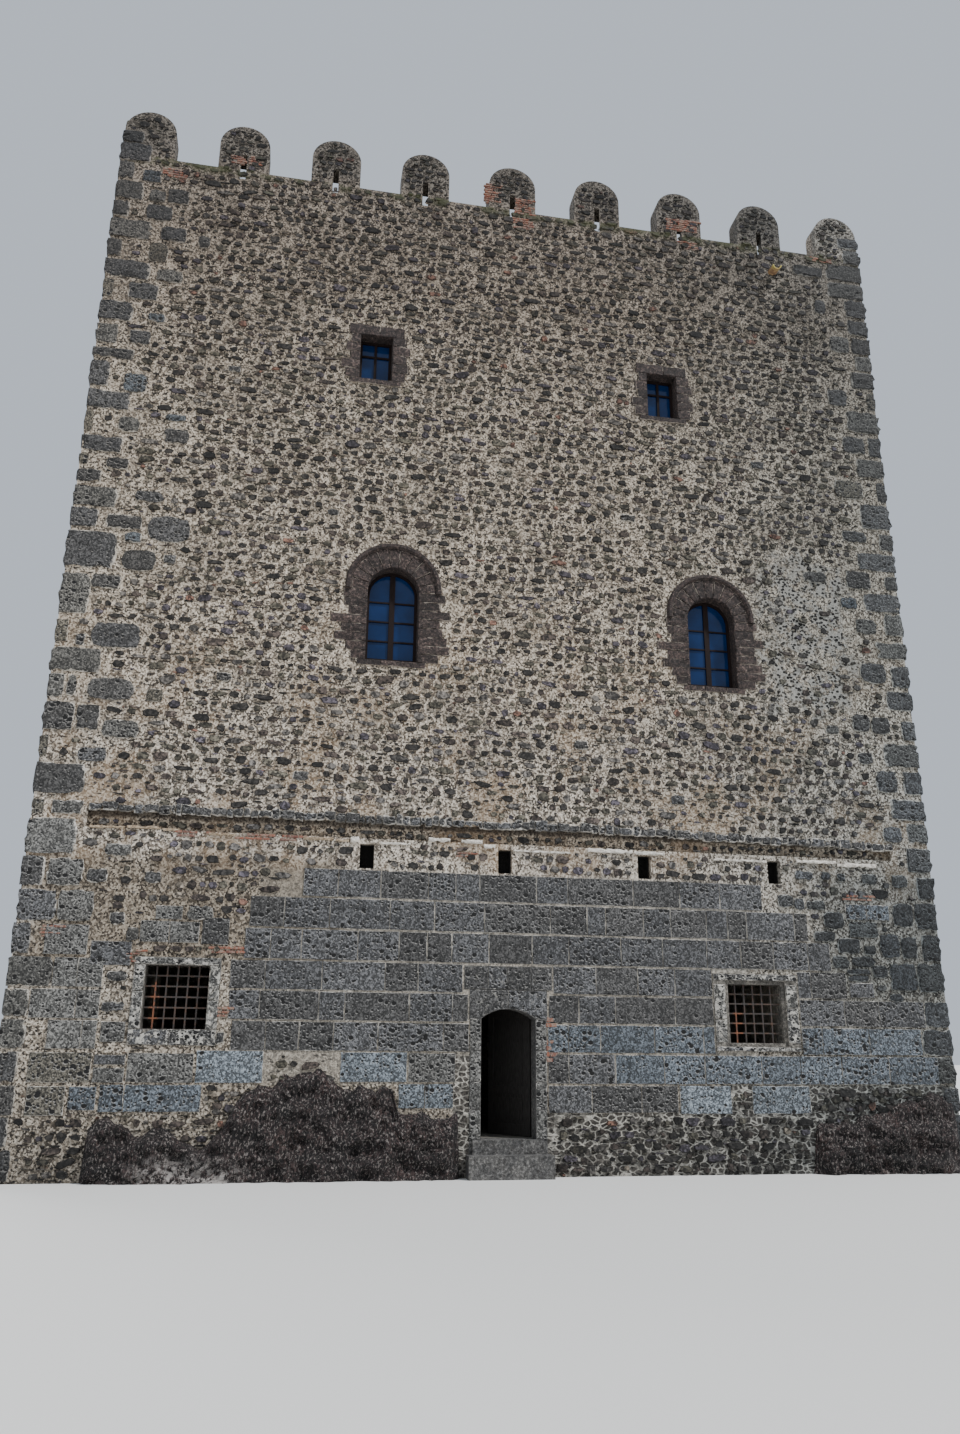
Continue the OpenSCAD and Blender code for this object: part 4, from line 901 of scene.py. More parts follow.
def window_stone_material(c, name="window stone", toned=False):
    """Red-brown stone, where toned with a shade for each stone and joints at their rims."""
    s = Shade(name, 0.88)
    clouds = s.noise(5.0, 5, 0.7)
    colour = s.mix(s.between(clouds, 0.3, 0.7), c.window_stone, tint("302724"))
    colour = s.mix(s.between(s.noise(11, 4, 0.7), 0.55, 0.75, 0, 0.5), colour, tint("5e514a"))
    pits = vesicles(s, 0.6, (15.0, 28.0))
    fine = s.noise(22, 4, 0.8)
    colour = s.shaded(colour, s.light(fine, (0.36, 0.22), (0.5, 0.74), (0.64, 2.7)))
    if toned:
        shade = s.light(s.scrambled(s.attribute("tone"), 29.3), (0, 0.55), (1, 1.4))
        colour = s.shaded(colour, shade)
    colour = s.mix(s.times(pits, 0.8), colour, tint("17110f"))
    colour = s.mix(s.between(s.noise(34, 3, 0.7), 0.59, 0.65, 0, 0.25), colour, tint("94857c"))
    if toned:
        ragged = s.plus(s.attribute("rim"), s.wobble(1.3, 16, 4, 0.7))
        joint = s.mix(s.noise(30, 3), tint("6f665d"), tint("a2978a"))
        colour = s.mix(s.between(ragged, 0.5, 0.66), colour, joint)
    s.bump(s.minus(s.plus(clouds, s.times(fine, 0.4)), pits), 0.012, 0.9)
    return s.colour(colour)


def dressed_material(name, dark, light):
    """Grey stone of the doorway and the barred windows."""
    s = Shade(name, 0.88)
    clouds = s.noise(4.2, 5, 0.7)
    fine = s.noise(20, 4, 0.8)
    colour = s.mix(s.between(clouds, 0.35, 0.65), tint(dark), tint(light))
    colour = s.shaded(colour, s.light(fine, (0.36, 0.4), (0.5, 0.92), (0.64, 2.3)))
    pits = vesicles(s, 0.5, (14.0, 26.0))
    colour = s.mix(s.times(pits, 0.6), colour, tint("24211f"))
    s.bump(s.minus(s.plus(clouds, s.times(fine, 0.4)), pits), 0.01, 0.8)
    return s.colour(colour)


def rock_material():
    """Dark red-brown lava with pale flecks and patches of painted shadow, and lime at the foot of its left
    end.
    """
    s = Shade("bedrock", 0.9)
    clouds = s.noise(2.2, 6, 0.75)
    colour = s.ramp(clouds, ((0.36, tint("1b1818")), (0.5, tint("302625")), (0.62, tint("3e302d")),
                             (0.72, tint("302c2b"))))
    fine = s.noise(21, 5, 0.85, s.stretched(1.3, 1.3, 0.6))
    colour = s.shaded(colour, s.light(fine, (0.4, 0.06), (0.51, 0.45), (0.62, 3.4)))
    flecks = s.between(s.noise(26, 3, 0.7, s.stretched(1.2, 1.2, 0.6)), 0.56, 0.61)
    colour = s.mix(s.times(flecks, 0.55), colour, tint("bbb1aa"))
    shadow_patches = s.between(s.noise(1.7, 5, 0.7, s.stretched(1.2, 1.2, 0.8)), 0.42, 0.58, 0.75, 1.4)
    # Painted shadow: dark patches stand for the shade in the rock's hollows; a ramp stops at 1, so only
    # these patches change
    colour = s.shaded(colour, s.light(shadow_patches, (0, 0), (1, 1)))
    where = s.band(s.x, (-6.4, -5.9), (-4.3, -4.9))
    lime = s.times(s.between(s.noise(9, 5, 0.8), 0.46, 0.56), s.between(s.z, 0.5, 0.02))
    colour = s.mix(s.times(s.times(lime, where), 0.85), colour, tint("c9c2bc"))
    s.bump(s.plus(fine, s.noise(8, 5, 0.75)), 0.08, 1.0)
    return s.colour(colour)


def plaster_material(name, light, dark):
    s = Shade(name, 0.93)
    fine = s.noise(26, 4, 0.7)
    s.bump(fine, 0.01, 0.8)
    return s.colour(s.mix(s.between(fine, 0.35, 0.62), tint(dark), tint(light)))


def brick_material():
    s = Shade("red brick", 0.9)
    kinds = ((0, tint("7d4a39")), (0.4, tint("8c5845")), (0.75, tint("6b443a")))
    colour = s.ramp(s.attribute("tone"), kinds)
    colour = s.mix(s.between(s.noise(19, 4, 0.75), 0.42, 0.6, 0, 0.9), colour, tint("8d7d70"))
    s.bump(s.noise(40, 3), 0.008, 0.7)
    return s.colour(colour)


def wood_material(name, light, dark, across=(14, 14, 1.2), rough=0.6):
    s = Shade(name, rough)
    s.surface.inputs["Specular IOR Level"].default_value = 0.2
    grain = s.noise(7.0, 5, 0.65, s.stretched(*across))
    colour = s.mix(s.between(grain, 0.35, 0.65), dark, light)
    s.bump(grain, 0.003, 0.6)
    return s.colour(colour)


def iron_material():
    """Dark wrought iron with rust, orange on a few bars."""
    s = Shade("wrought iron", 0.7, 0.3)
    rust = s.noise(13, 5, 0.7)
    colour = s.mix(s.between(rust, 0.45, 0.62), tint("3d3936"), tint("503d31"))
    streak = s.most(s.inside(*RUSTY_BARS[0], 0.03, 0.05), s.inside(*RUSTY_BARS[1], 0.04, 0.06))
    colour = s.mix(s.times(streak, s.between(rust, 0.36, 0.5)), colour, tint("a8643c"))
    s.bump(rust, 0.004, 0.8)
    return s.colour(colour)


def glass_material(c):
    s = Shade("window glass", 0.08)
    s.surface.inputs["Specular IOR Level"].default_value = 0.3
    waves = s.noise(2.2, 3, 0.5)
    s.bump(waves, 0.004, 0.3)
    # Base colour: a painted reflection of a blue sky, varied by the waves
    return s.colour(s.mix(s.between(waves, 0.3, 0.7), c.glass_sky_reflection, tint("0f2b54")))


def terracotta_material():
    s = Shade("terracotta", 0.85)
    colour = s.mix(s.between(s.noise(9, 5, 0.7), 0.35, 0.65), tint("75583f"), tint("a3835c"))
    tip = s.times(s.between(s.y, -4.38, -4.5), s.between(s.noise(14, 4), 0.35, 0.55))
    s.bump(s.noise(30, 4), 0.006, 0.7)
    return s.colour(s.mix(tip, colour, tint("b9ab5a")))


def floor_stone_material():
    s = Shade("floor stone", 0.9)
    node = s.nodes.new("ShaderNodeTexBrick")
    s.links.new(s.place, node.inputs["Vector"])
    for title, number in (("Scale", 1.0), ("Mortar Size", 0.012), ("Brick Width", 0.62),
                          ("Row Height", 0.45)):
        node.inputs[title].default_value = number
    node.inputs["Color1"].default_value = tint("6e6962")
    node.inputs["Color2"].default_value = tint("575350")
    node.inputs["Mortar"].default_value = tint("8f877b")
    stain = s.mix(s.between(s.noise(1.7, 5, 0.7), 0.4, 0.65, 0, 0.5), node.outputs["Color"], tint("5a5b44"))
    s.bump(s.plus(s.noise(22, 4), s.times(node.outputs["Fac"], -0.8)), 0.01, 0.8)
    return s.colour(stain)


def board_material():
    s = Shade("floor boards", 0.75)
    row = s.scrambled(s.y, 5.0)
    gap = s.band(row, (0.0, 0.04), (1.0, 0.96))
    grain = s.noise(6, 5, 0.65, s.stretched(1, 12, 12))
    colour = s.mix(s.between(grain, 0.35, 0.65), tint("4d3a2a"), tint("75593f"))
    s.bump(s.plus(grain, gap), 0.006, 0.7)
    return s.colour(s.mix(gap, tint("1f1712"), colour))


def colours():
    return bpy.context.scene.keep_colours


def sizes():
    return bpy.context.scene.keep_sizes


def dress(names, material):
    for name in names:
        mesh = frame["nodes"][name].data
        mesh.materials.clear()
        mesh.materials.append(material)


def scatter_tree():
    """Node tree that sets a stone of the chosen kind, size and turn on each point."""
    tree = bpy.data.node_groups.new("scattered stones", "GeometryNodeTree")
    face = tree.interface
    for title, kind in (("Geometry", "Geometry"), ("Stones", "Collection"), ("Width", "Float"),
                        ("Relief", "Float"), ("Finish", "Material")):
        face.new_socket(title, in_out="INPUT", socket_type="NodeSocket" + kind)
    face.new_socket("Geometry", in_out="OUTPUT", socket_type="NodeSocketGeometry")
    new, link = tree.nodes.new, tree.links.new
    start, end = new("NodeGroupInput"), new("NodeGroupOutput")

    def named(title, kind):
        node = new("GeometryNodeInputNamedAttribute")
        node.data_type = kind
        node.inputs["Name"].default_value = title
        return node.outputs["Attribute"]

    kinds = new("GeometryNodeCollectionInfo")
    kinds.inputs["Separate Children"].default_value = True
    kinds.inputs["Reset Children"].default_value = True
    link(start.outputs["Stones"], kinds.inputs["Collection"])
    scale = new("ShaderNodeCombineXYZ")
    link(start.outputs["Width"], scale.inputs[0])
    link(start.outputs["Relief"], scale.inputs[1])
    link(start.outputs["Width"], scale.inputs[2])
    size = new("ShaderNodeVectorMath")
    size.operation = "MULTIPLY"
    link(named("stone_size", "FLOAT_VECTOR"), size.inputs[0])
    link(scale.outputs[0], size.inputs[1])
    turn = new("FunctionNodeEulerToRotation")
    link(named("stone_turn", "FLOAT_VECTOR"), turn.inputs[0])
    put = new("GeometryNodeInstanceOnPoints")
    put.inputs["Pick Instance"].default_value = True
    link(start.outputs["Geometry"], put.inputs["Points"])
    link(kinds.outputs[0], put.inputs["Instance"])
    link(named("stone_kind", "INT"), put.inputs["Instance Index"])
    link(turn.outputs[0], put.inputs["Rotation"])
    link(size.outputs[0], put.inputs["Scale"])
    real, paint = new("GeometryNodeRealizeInstances"), new("GeometryNodeSetMaterial")
    link(put.outputs[0], real.inputs[0])
    link(real.outputs[0], paint.inputs["Geometry"])
    link(start.outputs["Finish"], paint.inputs["Material"])
    link(paint.outputs[0], end.inputs[0])
    return tree


def stone_kinds(seed, count=24):
    """Closed, angular stones one unit wide, whose faces look along -Y."""
    rng = np.random.default_rng(seed)
    kinds = bpy.data.collections.new("stone kinds")
    for k in range(count):
        n = (6, 7, 8)[k % 3]
        angle = np.linspace(0, 2 * math.pi, n, endpoint=False) + rng.uniform(0, 1) + rng.normal(0, 0.16, n)
        power = rng.uniform(0.6, 1.0)
        c, s = np.cos(angle), np.sin(angle)
        outer = np.stack([np.sign(c) * abs(c) ** power, np.sign(s) * abs(s) ** power], 1) * 0.5
        outer *= rng.uniform(0.74, 1.05, (n, 1))
        inner = outer * rng.uniform(0.66, 0.84, (n, 1))
        tilt = rng.normal(0, 0.35, 2)
        lift = -1.0 + outer @ tilt + rng.normal(0, 0.1, n)
        points = [(x, 0.35, z) for x, z in outer] + [(x, y, z) for (x, z), y in zip(inner, lift)]
        faces = [(i, (i + 1) % n, n + (i + 1) % n, n + i) for i in range(n)]
        faces += [tuple(range(n, 2 * n)), tuple(range(n))[::-1]]
        mesh = bpy.data.meshes.new(f"stone_kind_{k:02d}")
        mesh.from_pydata(points, [], faces)
        mesh.attributes.new("rim", "FLOAT", "POINT").data.foreach_set("value", [1.0] * n + [0.12] * n)
        kinds.objects.link(bpy.data.objects.new(mesh.name, mesh))
    return kinds


def scatter(name, tree, kinds, material, places, seed):
    """Runs the tree over columns of places, sizes, tones and tilts, and keeps the plain mesh."""
    rng = np.random.default_rng(seed)
    side, u, w, z, width, height, relief, tone, tilt = (np.concatenate(column) for column in zip(*places))
    points = np.empty((len(u), 3))
    for k in range(4):
        here = side == k
        points[here] = on_side(k, u[here], w[here], z[here])
    mesh = bpy.data.meshes.new(name)
    mesh.from_pydata(points.tolist(), [], [])
    turn = np.stack([np.zeros(len(u)), tilt, side * math.pi / 2], 1)
    size = np.stack([width, relief, height], 1)
    for title, kind, values in (("stone_size", "FLOAT_VECTOR", size), ("stone_turn", "FLOAT_VECTOR", turn)):
        held = mesh.attributes.new(title, kind, "POINT").data
        held.foreach_set("vector", values.astype(np.float32).ravel())
    mesh.attributes.new("tone", "FLOAT", "POINT").data.foreach_set("value", tone.astype(np.float32))
    mesh.attributes.new("stone_kind", "INT", "POINT").data.foreach_set(
        "value", rng.integers(0, len(kinds.objects), len(u)).astype(np.int32))
    bed = bpy.data.objects.new(name + "_bed", mesh)
    bpy.context.scene.collection.objects.link(bed)
    modifier = bed.modifiers.new("stones", "NODES")
    modifier.node_group = tree
    sockets = {item.name: item.identifier for item in tree.interface.items_tree if item.in_out == "INPUT"}
    for title, value in (("Stones", kinds), ("Width", 1.0), ("Relief", 1.0), ("Finish", material)):
        modifier[sockets[title]] = value
    graph = bpy.context.evaluated_depsgraph_get()
    result = bpy.data.meshes.new_from_object(bed.evaluated_get(graph), preserve_all_data_layers=True,
                                             depsgraph=graph)
    bpy.data.objects.remove(bed)
    result.name = name
    for extra in ("stone_size", "stone_turn", "stone_kind"):
        if extra in result.attributes:
            result.attributes.remove(result.attributes[extra])
    if not result.polygons:
        raise RuntimeError(f"{name} came out empty")
    return finished(name, result, material)


def laid_rows(rng, side, left, right, low, high, scale=1.0, w=0.0, spaced=1.0):
    """Rough rows of rubble with slivers between them, as the columns that scatter takes."""
    given = sizes()
    columns = []
    z = low
    while z < high:
        row = rng.uniform(given.row_low, given.row_high) * scale
        for kind in ("stones", "slivers"):
            if kind == "stones":
                usual, least, most, wide_gap = given.stone_width, 0.07, 0.42, 0.08
            else:
                usual, least, most, wide_gap = 0.11, 0.04, 0.26, 0.2
            count = int((right - left) / 0.06)
            width = np.clip(rng.lognormal(math.log(usual), 0.45, count), least, most) * scale
            gap = rng.uniform(0.01, wide_gap, count) * spaced
            gap += (rng.random(count) < 0.15 * spaced) * rng.uniform(0.05, 0.35, count)
            ends = left + rng.uniform(0, 0.15) + np.cumsum(width + gap)
            u = ends - width / 2 - gap
            inside = u + width / 2 < right
            width, u = width[inside], u[inside]
            n = len(u)
            if kind == "stones":
                height = np.minimum(row * rng.uniform(0.5, 0.86, n), width * rng.uniform(0.6, 1.0, n))
                at = z + row / 2 + rng.normal(0, 0.1 * row, n)
            else:
                height = rng.uniform(0.018, 0.05, n) * scale
                at = z + rng.normal(0, 0.14 * row, n)
            columns.append((u, at, width, height))
        z += row
    u, at, width, height = (np.concatenate(c) for c in zip(*columns))
    n = len(u)
    relief = given.stone_relief * rng.uniform(0.5, 1.2, n) * (0.35 + 4.0 * np.minimum(height, 0.16))
    spot = [np.full(n, side), u, np.full(n, w), at, width * 1.12, height * 1.15, np.minimum(relief, 0.045),
            rng.random(n), rng.normal(0, 0.1, n)]
    return kept(spot, at - height * 0.6 > 0.01)


def kept(places, mask):
    return [column[mask] for column in places]


def clear(side, rows):
    return TAKEN[side].clear_of(rows)


def rock_relief(x, z):
    """How far the bedrock stands out at a place, before its edges thin."""
    lean = 0.34 - 0.24 * min(1, max(0, (z - 0.55) / 1.15))
    rough = noise.fractal(Vector((x * 1.7, 3.1, z * 2.3)), 0.8, 2.1, 5)
    crags = noise.ridged_multi_fractal(Vector((x * 1.9, 7.7, z * 2.6)), 0.9, 2.2, 4, 1.0, 2.0)
    chips = noise.ridged_multi_fractal(Vector((x * 5.5, 2.2, z * 4.0)), 0.9, 2.2, 3, 1.0, 2.0)
    return lean * (0.72 + 0.3 * rough) + 0.09 * (crags - 1.1) + 0.05 * (chips - 1.1)


def crag(outline):
    """The front of one outcrop as a grid of points, with its last row back in the wall."""
    xs, tops = np.array(outline).T
    u = np.linspace(xs[0], xs[-1], int((xs[-1] - xs[0]) / ROCK_STEP))
    ragged = np.array([noise.fractal(Vector((v * 2.1, 5.5, 0.3)), 0.7, 2.2, 5) for v in u])
    top = np.interp(u, xs, tops)
    top = np.maximum(top + 0.16 * ragged * np.minimum(1, top), 0.02)
    grid = np.empty((len(u), ROCK_ROWS + 1, 3))
    for i in range(len(u)):
        end = min(u[i] - xs[0], xs[-1] - u[i])
        for j, t in enumerate(np.linspace(0, 1, ROCK_ROWS)):
            z = top[i] * t
            edge = min(1, end / 0.25) * min(1, (1 - t) * top[i] / 0.16 + 0.04)
            out = max(0.0, min(ROCK_OUT, rock_relief(u[i], z) * edge ** 0.5))
            wander = 0.03 * noise.noise(Vector((u[i] * 6, z * 6, 1.2)))
            grid[i, j] = (u[i] + wander * (0.1 < t < 0.95), -FACE_Y - out, z)
        grid[i, ROCK_ROWS] = (u[i], -FACE_Y + ROCK_BACK, top[i])
    return grid


def crag_faces(n, m, base):
    """Faces that close an outcrop: its front and foot, its two ends and its flat back."""
    total = n * m
    faces = []
    for i in range(n - 1):
        for a in range(base + i * m, base + i * m + m - 1):
            faces.append((a, a + m, a + m + 1, a + 1))
        a = base + i * m
        faces.append((a + m, a, a + total, a + m + total))
    for a in range(base, base + m - 1):
        faces.append((a, a + 1, a + 1 + total, a + total))
    for a in range(base + total - m, base + total - 1):
        faces.append((a + 1, a, a + total, a + 1 + total))
    for i in range(n - 1):
        for a in range(base + total + i * m, base + total + i * m + m - 1):
            faces.append((a, a + 1, a + m + 1, a + m))
    return faces


class KeepStep:
    """What the operators share."""
    bl_options = {"REGISTER"}


class KEEP_OT_stage(KeepStep, bpy.types.Operator):
    """Pale floor, soft studio light and the camera at the portrait's viewing angle"""
    bl_idname = "keep.stage"
    bl_label = "Stage, light and camera"

    def execute(self, context):
        scene = context.scene
        mesh = bpy.data.meshes.new("studio_floor")
        corners = ((-1, -1), (1, -1), (1, 1), (-1, 1))
        mesh.from_pydata([(x * STUDIO_HALF, y * STUDIO_HALF, 0) for x, y in corners], [], [(0, 1, 2, 3)])
        floor = bpy.data.objects.new("studio_floor", mesh)
        scene.collection.objects.link(floor)
        s = Shade("studio floor", 0.9)
        mesh.materials.append(s.colour(s.mix(s.noise(0.05, 2), tint("d6d5d2"), tint("dcdbd8"))))
        world = bpy.data.worlds.new("studio")
        world.use_nodes = True
        backdrop = world.node_tree.nodes["Background"]
        backdrop.inputs["Color"].default_value = tint("cdd6e2")
        backdrop.inputs["Strength"].default_value = 0.95
        scene.world = world
        for name, energy, angle, azimuth, height in SUNS:
            light = bpy.data.lights.new(name, "SUN")
            light.energy, light.angle = energy, math.radians(angle)
            lamp = bpy.data.objects.new(name, light)
            a, e = math.radians(azimuth), math.radians(height)
            towards = Vector((math.sin(a) * math.cos(e), -math.cos(a) * math.cos(e), math.sin(e)))
            lamp.matrix_world = towards.to_track_quat("Z", "Y").to_matrix().to_4x4()
            scene.collection.objects.link(lamp)
        turn, tilt, roll = CAMERA_TURN, CAMERA_TILT, CAMERA_ROLL
        ahead = Vector((math.sin(turn) * math.cos(tilt), math.cos(turn) * math.cos(tilt), math.sin(tilt)))
        right = Vector((math.cos(turn), -math.sin(turn), 0))
        up = right.cross(ahead)
        level = math.cos(roll) * right + math.sin(roll) * up
        tall = -math.sin(roll) * right + math.cos(roll) * up
        data = bpy.data.cameras.new("portrait")
        data.lens, data.sensor_width, data.clip_end = CAMERA_LENS, CAMERA_SENSOR, CAMERA_REACH
        camera = bpy.data.objects.new("portrait", data)
        basis = Matrix((level, tall, -ahead)).transposed().to_4x4()
        camera.matrix_world = Matrix.Translation(CAMERA_PLACE) @ basis
        scene.collection.objects.link(camera)
        scene.camera = camera
        return {"FINISHED"}


class KEEP_OT_frame_finishes(KeepStep, bpy.types.Operator):
    """Materials of the solids that show as they are"""
    bl_idname = "keep.frame_finishes"
    bl_label = "Finishes of the solids"

    def execute(self, context):
        c = colours()
        walls = [n for n in frame["nodes"] if "wall" in n or "parapet" in n or "merlons" in n]
        dress(walls, mortar_material(c))
        dress(["arched_window_surrounds", "square_window_surrounds"], window_stone_material(c))
        dress(["barred_window_frames"], dressed_material("barred window stone", "4d4a45", "77726a"))
        dress(["door_lintel", "door_jambs", "door_sill", "door_step"],
              dressed_material("doorway stone", "434241", "5c5a57"))
        dress(["corner_quoins"], block_material(c, "corner blocks"))
        dress(["rock_outcrops"], rock_material())
        dress(["ground_floor", "roof_terrace"], floor_stone_material())
        dress(["first_floor", "second_floor"], board_material())
        wood = wood_material("window wood", c.wood, tint("140c0a"), rough=0.75)
        dress(["arched_window_casements", "square_window_casements"], wood)
        dress(["arched_window_glass", "square_window_glass"], glass_material(c))
        dress(["window_grilles", "door_pintles", "door_straps"], iron_material())
        dress(["door_leaf"], wood_material("door wood", tint("383634"), tint("22201f")))
        dress(["roof_spout"], terracotta_material())
        return {"FINISHED"}


class KEEP_OT_squared_blocks(KeepStep, bpy.types.Operator):
    """Squared lava blocks in courses round the foot of the keep"""
    bl_idname = "keep.squared_blocks"
    bl_label = "Squared blocks"

    def execute(self, context):
        work = Stonework(sizes().seed + 1)
        rng = work.rng
        proud, gap = sizes().block_proud, sizes().block_joint / 2
        for low, high, joints, kind in FRONT_COURSES:
            for left, right in zip(joints, joints[1:]):
                tone = rng.uniform(*TONES[kind])
                work.block(FRONT, left, right, low, high, tone, -proud - rng.uniform(0, 0.008), gap=gap)
                TAKEN[FRONT].box(left, right, low, high)
        for side in (RIGHT, BACK, LEFT):
            for low, high in PLAIN_COURSES:
                for start, stop in TAKEN[side].gaps(-span_half(side), span_half(side), low, high):
                    count = max(1, round((stop - start) / rng.uniform(0.6, 0.85)))
                    joints = np.linspace(start, stop, count + 1)
                    joints[1:-1] += rng.uniform(-0.14, 0.14, count - 1)
                    for left, right in zip(joints, joints[1:]):
                        kind = rng.choice(["dark", "grey", "blue"], p=[0.7, 0.18, 0.12])
                        work.block(side, left, right, low, high, rng.uniform(*TONES[kind]),
                                   -proud - rng.uniform(0, 0.008), gap=gap)
                TAKEN[side].box(-span_half(side), span_half(side), low, high)
        work.make("squared_blocks", block_material(colours()))
        return {"FINISHED"}


class KEEP_OT_corner_stones(KeepStep, bpy.types.Operator):
    """Long and short lava blocks that turn each corner up to the battlements"""
    bl_idname = "keep.corner_stones"
    bl_label = "Corner stones"

    def execute(self, context):
        self.corners()
        self.loose_stones()
        return {"FINISHED"}

    @staticmethod
    def corners():
        work = Stonework(sizes().seed + 2)
        rng = work.rng
        for corner in range(4):
            for low, high, length in LEFT_CORNER if corner % 2 else RIGHT_CORNER:
                other = np.clip(CORNER_REACH - length + rng.uniform(-0.12, 0.12), 0.18, 0.95)
                if low > CORNER_PARAPET:
                    other = min(other, 0.7)
                here, beside = (other, length) if corner in (LEFT, RIGHT) else (length, other)
                proud = sizes().quoin_proud * rng.uniform(0.6, 1.1) * (1 if length > CORNER_SMALL else 0.5)
                tone = rng.uniform(*TONES["dark"]) if rng.random() < 0.7 else rng.uniform(*TONES["grey"])
                if length < CORNER_SMALL:
                    tone = rng.uniform(*TONES["tan"])

                def shape(s, t):
                    a, b = 2 * s - 1, 2 * t - 1
                    squeeze = np.sqrt(1 - 0.1 * b * b)
                    t = np.clip((b * np.sqrt(1 - 0.1 * a * a) / np.sqrt(0.95) + 1) / 2, 0, 1)
                    return np.where(a < 0, -here, beside) * abs(a) * squeeze, low + (high - low) * t

                work.slab(shape, here + beside, high - low, -proud, 0.05, tone,
                          lambda t, w, z: round_corner(corner, t, w, z), bevel=0.03, rough=0.008, step=0.11,
                          pillow=0.01, wander=0.8)
                span, after = span_half(corner), span_half(corner + 1)
                TAKEN[corner].box(span - here, span + 0.1, low, high)
                TAKEN[(corner + 1) % 4].box(-after - 0.1, -after + beside, low, high)
        finish = block_material(colours(), "corner stones", quoin=True)
        piece = work.make("corner_stones", finish)
        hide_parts("corner_quoins")

    @staticmethod
    def loose_stones():
        """Large round stones near the corners, as in the photo on the front and at random elsewhere."""
        loose = Stonework(sizes().seed + 8)
        rng = loose.rng
        for left, right, low, high, kind in BOULDERS:
            loose.boulder(FRONT, left, right, low, high, rng.uniform(*TONES[kind]),
                          out=rng.uniform(0.022, 0.036), round_off=rng.uniform(0.2, 0.7))
            TAKEN[FRONT].box(left, right, low, high)
        for side in (RIGHT, BACK, LEFT):
            for way in (-1, 1):
                z = LOOSE_LOW
                while z < LOOSE_HIGH:
                    width, tall = rng.uniform(0.36, 0.72), rng.uniform(0.26, 0.44)
                    inner = span_half(side) - rng.uniform(0.95, 1.25)
                    ends = sorted((way * inner, way * (inner - width)))
                    spot = (sum(ends) / 2, z + tall / 2, width / 2, tall / 2)
                    if TAKEN[side].free(*(np.array([v]) for v in spot))[0]:
                        tone = rng.uniform(*TONES[rng.choice(["dark", "grey"])])
                        loose.boulder(side, *ends, z, z + tall, tone, out=rng.uniform(0.022, 0.036))
                        TAKEN[side].box(*ends, z, z + tall)
                    z += tall + rng.uniform(0.1, 0.6)
        loose.make("loose_blocks", block_material(colours(), "loose blocks", quoin=True))


class KEEP_OT_window_stones(KeepStep, bpy.types.Operator):
    """Worn faces of the ring, jamb, lintel and sill stones of the windows"""
    bl_idname = "keep.window_stones"
    bl_label = "Window stones"

    def execute(self, context):
        work = Stonework(sizes().seed + 3)
        rng = work.rng
        for side in range(4):
            for u0, sill in ARCHED[side % 2]:
                head = sill + ARCH_RISE
                self.ring(work, side, u0, head)
                self.jambs(work, side, u0, head, ARCH_RISE, ARCH_HALF, ARCH_TEETH, 0.014, 0.008)
                for left, right in zip(ARCH_SILL_JOINTS, ARCH_SILL_JOINTS[1:]):
                    work.block(side, u0 + left, u0 + right, sill - WORN_SILL_H, sill, rng.random(), -0.02,
                               joints=(1, 1, 1, 0), step=0.1, **WORN)
            for u0, sill in SQUARE[side % 2]:
                head = sill + SQUARE_H
                self.jambs(work, side, u0, head, SQUARE_H, SQUARE_HALF, SQUARE_TEETH, 0.024, 0.006)
                for left, right in zip(LINTEL_JOINTS, LINTEL_JOINTS[1:]):
                    work.block(side, u0 + left, u0 + right, head, head + LINTEL_H + 0.01, rng.random(),
                               -0.026, joints=(1, 1, 0, 1), step=0.11, wander=0.9, **WORN)
                work.block(side, u0 + SQUARE_SILL[0], u0 + SQUARE_SILL[1], sill - WORN_SILL_H, sill,
                           rng.random(), -0.03, joints=(1, 1, 1, 0), step=0.11, **WORN)
        finish = window_stone_material(colours(), "worn window stone", toned=True)
        work.make("window_stones", finish)
        return {"FINISHED"}

    @staticmethod
    def jambs(work, side, u0, head, tall, half, teeth, out, play):
        """Jamb stones on both sides of a window, which reach into the wall by turns."""
        rng = work.rng
        step = tall / len(teeth[0])
        for i, reaches in enumerate(zip(*teeth)):
            top = head - i * step
            for way, reach in zip((-1, 1), reaches):
                far = u0 + way * (half + reach + rng.uniform(-0.02, 0.03))
                left, right = sorted((u0 + way * half, far))
                work.block(side, left, right, top - step - rng.uniform(0, 0.012), top, rng.random(),
                           -out - rng.uniform(0, play), joints=(way < 0, way > 0, 1, 1), step=0.11,
                           wander=0.9, **WORN)

    @staticmethod
    def ring(work, side, u0, spring):
        """Wedge-shaped stones round an arch, up to its moulding."""
        for i in range(RING_STONES):
            start, end = (math.pi * (i + share) / RING_STONES for share in (0.03, 0.97))

            def shape(s, t):
                angle = start + (end - start) * s
                lift = RING_LIFT * np.sin(angle)
                outer = lift + np.sqrt(RING_R ** 2 - (RING_LIFT * np.cos(angle)) ** 2) - 0.006
                radius = ARCH_HALF + 0.003 + (outer - ARCH_HALF) * t
                return u0 + radius * np.cos(angle), spring + radius * np.sin(angle)

            work.slab(shape, 0.19, 0.32, -0.017 - work.rng.uniform(0, 0.007), 0.02, work.rng.random(),
                      lambda u, w, z: on_side(side, u, w, z), bevel=0.012, joints=(1, 1, 0, 1), step=0.08,
                      wander=0.6)


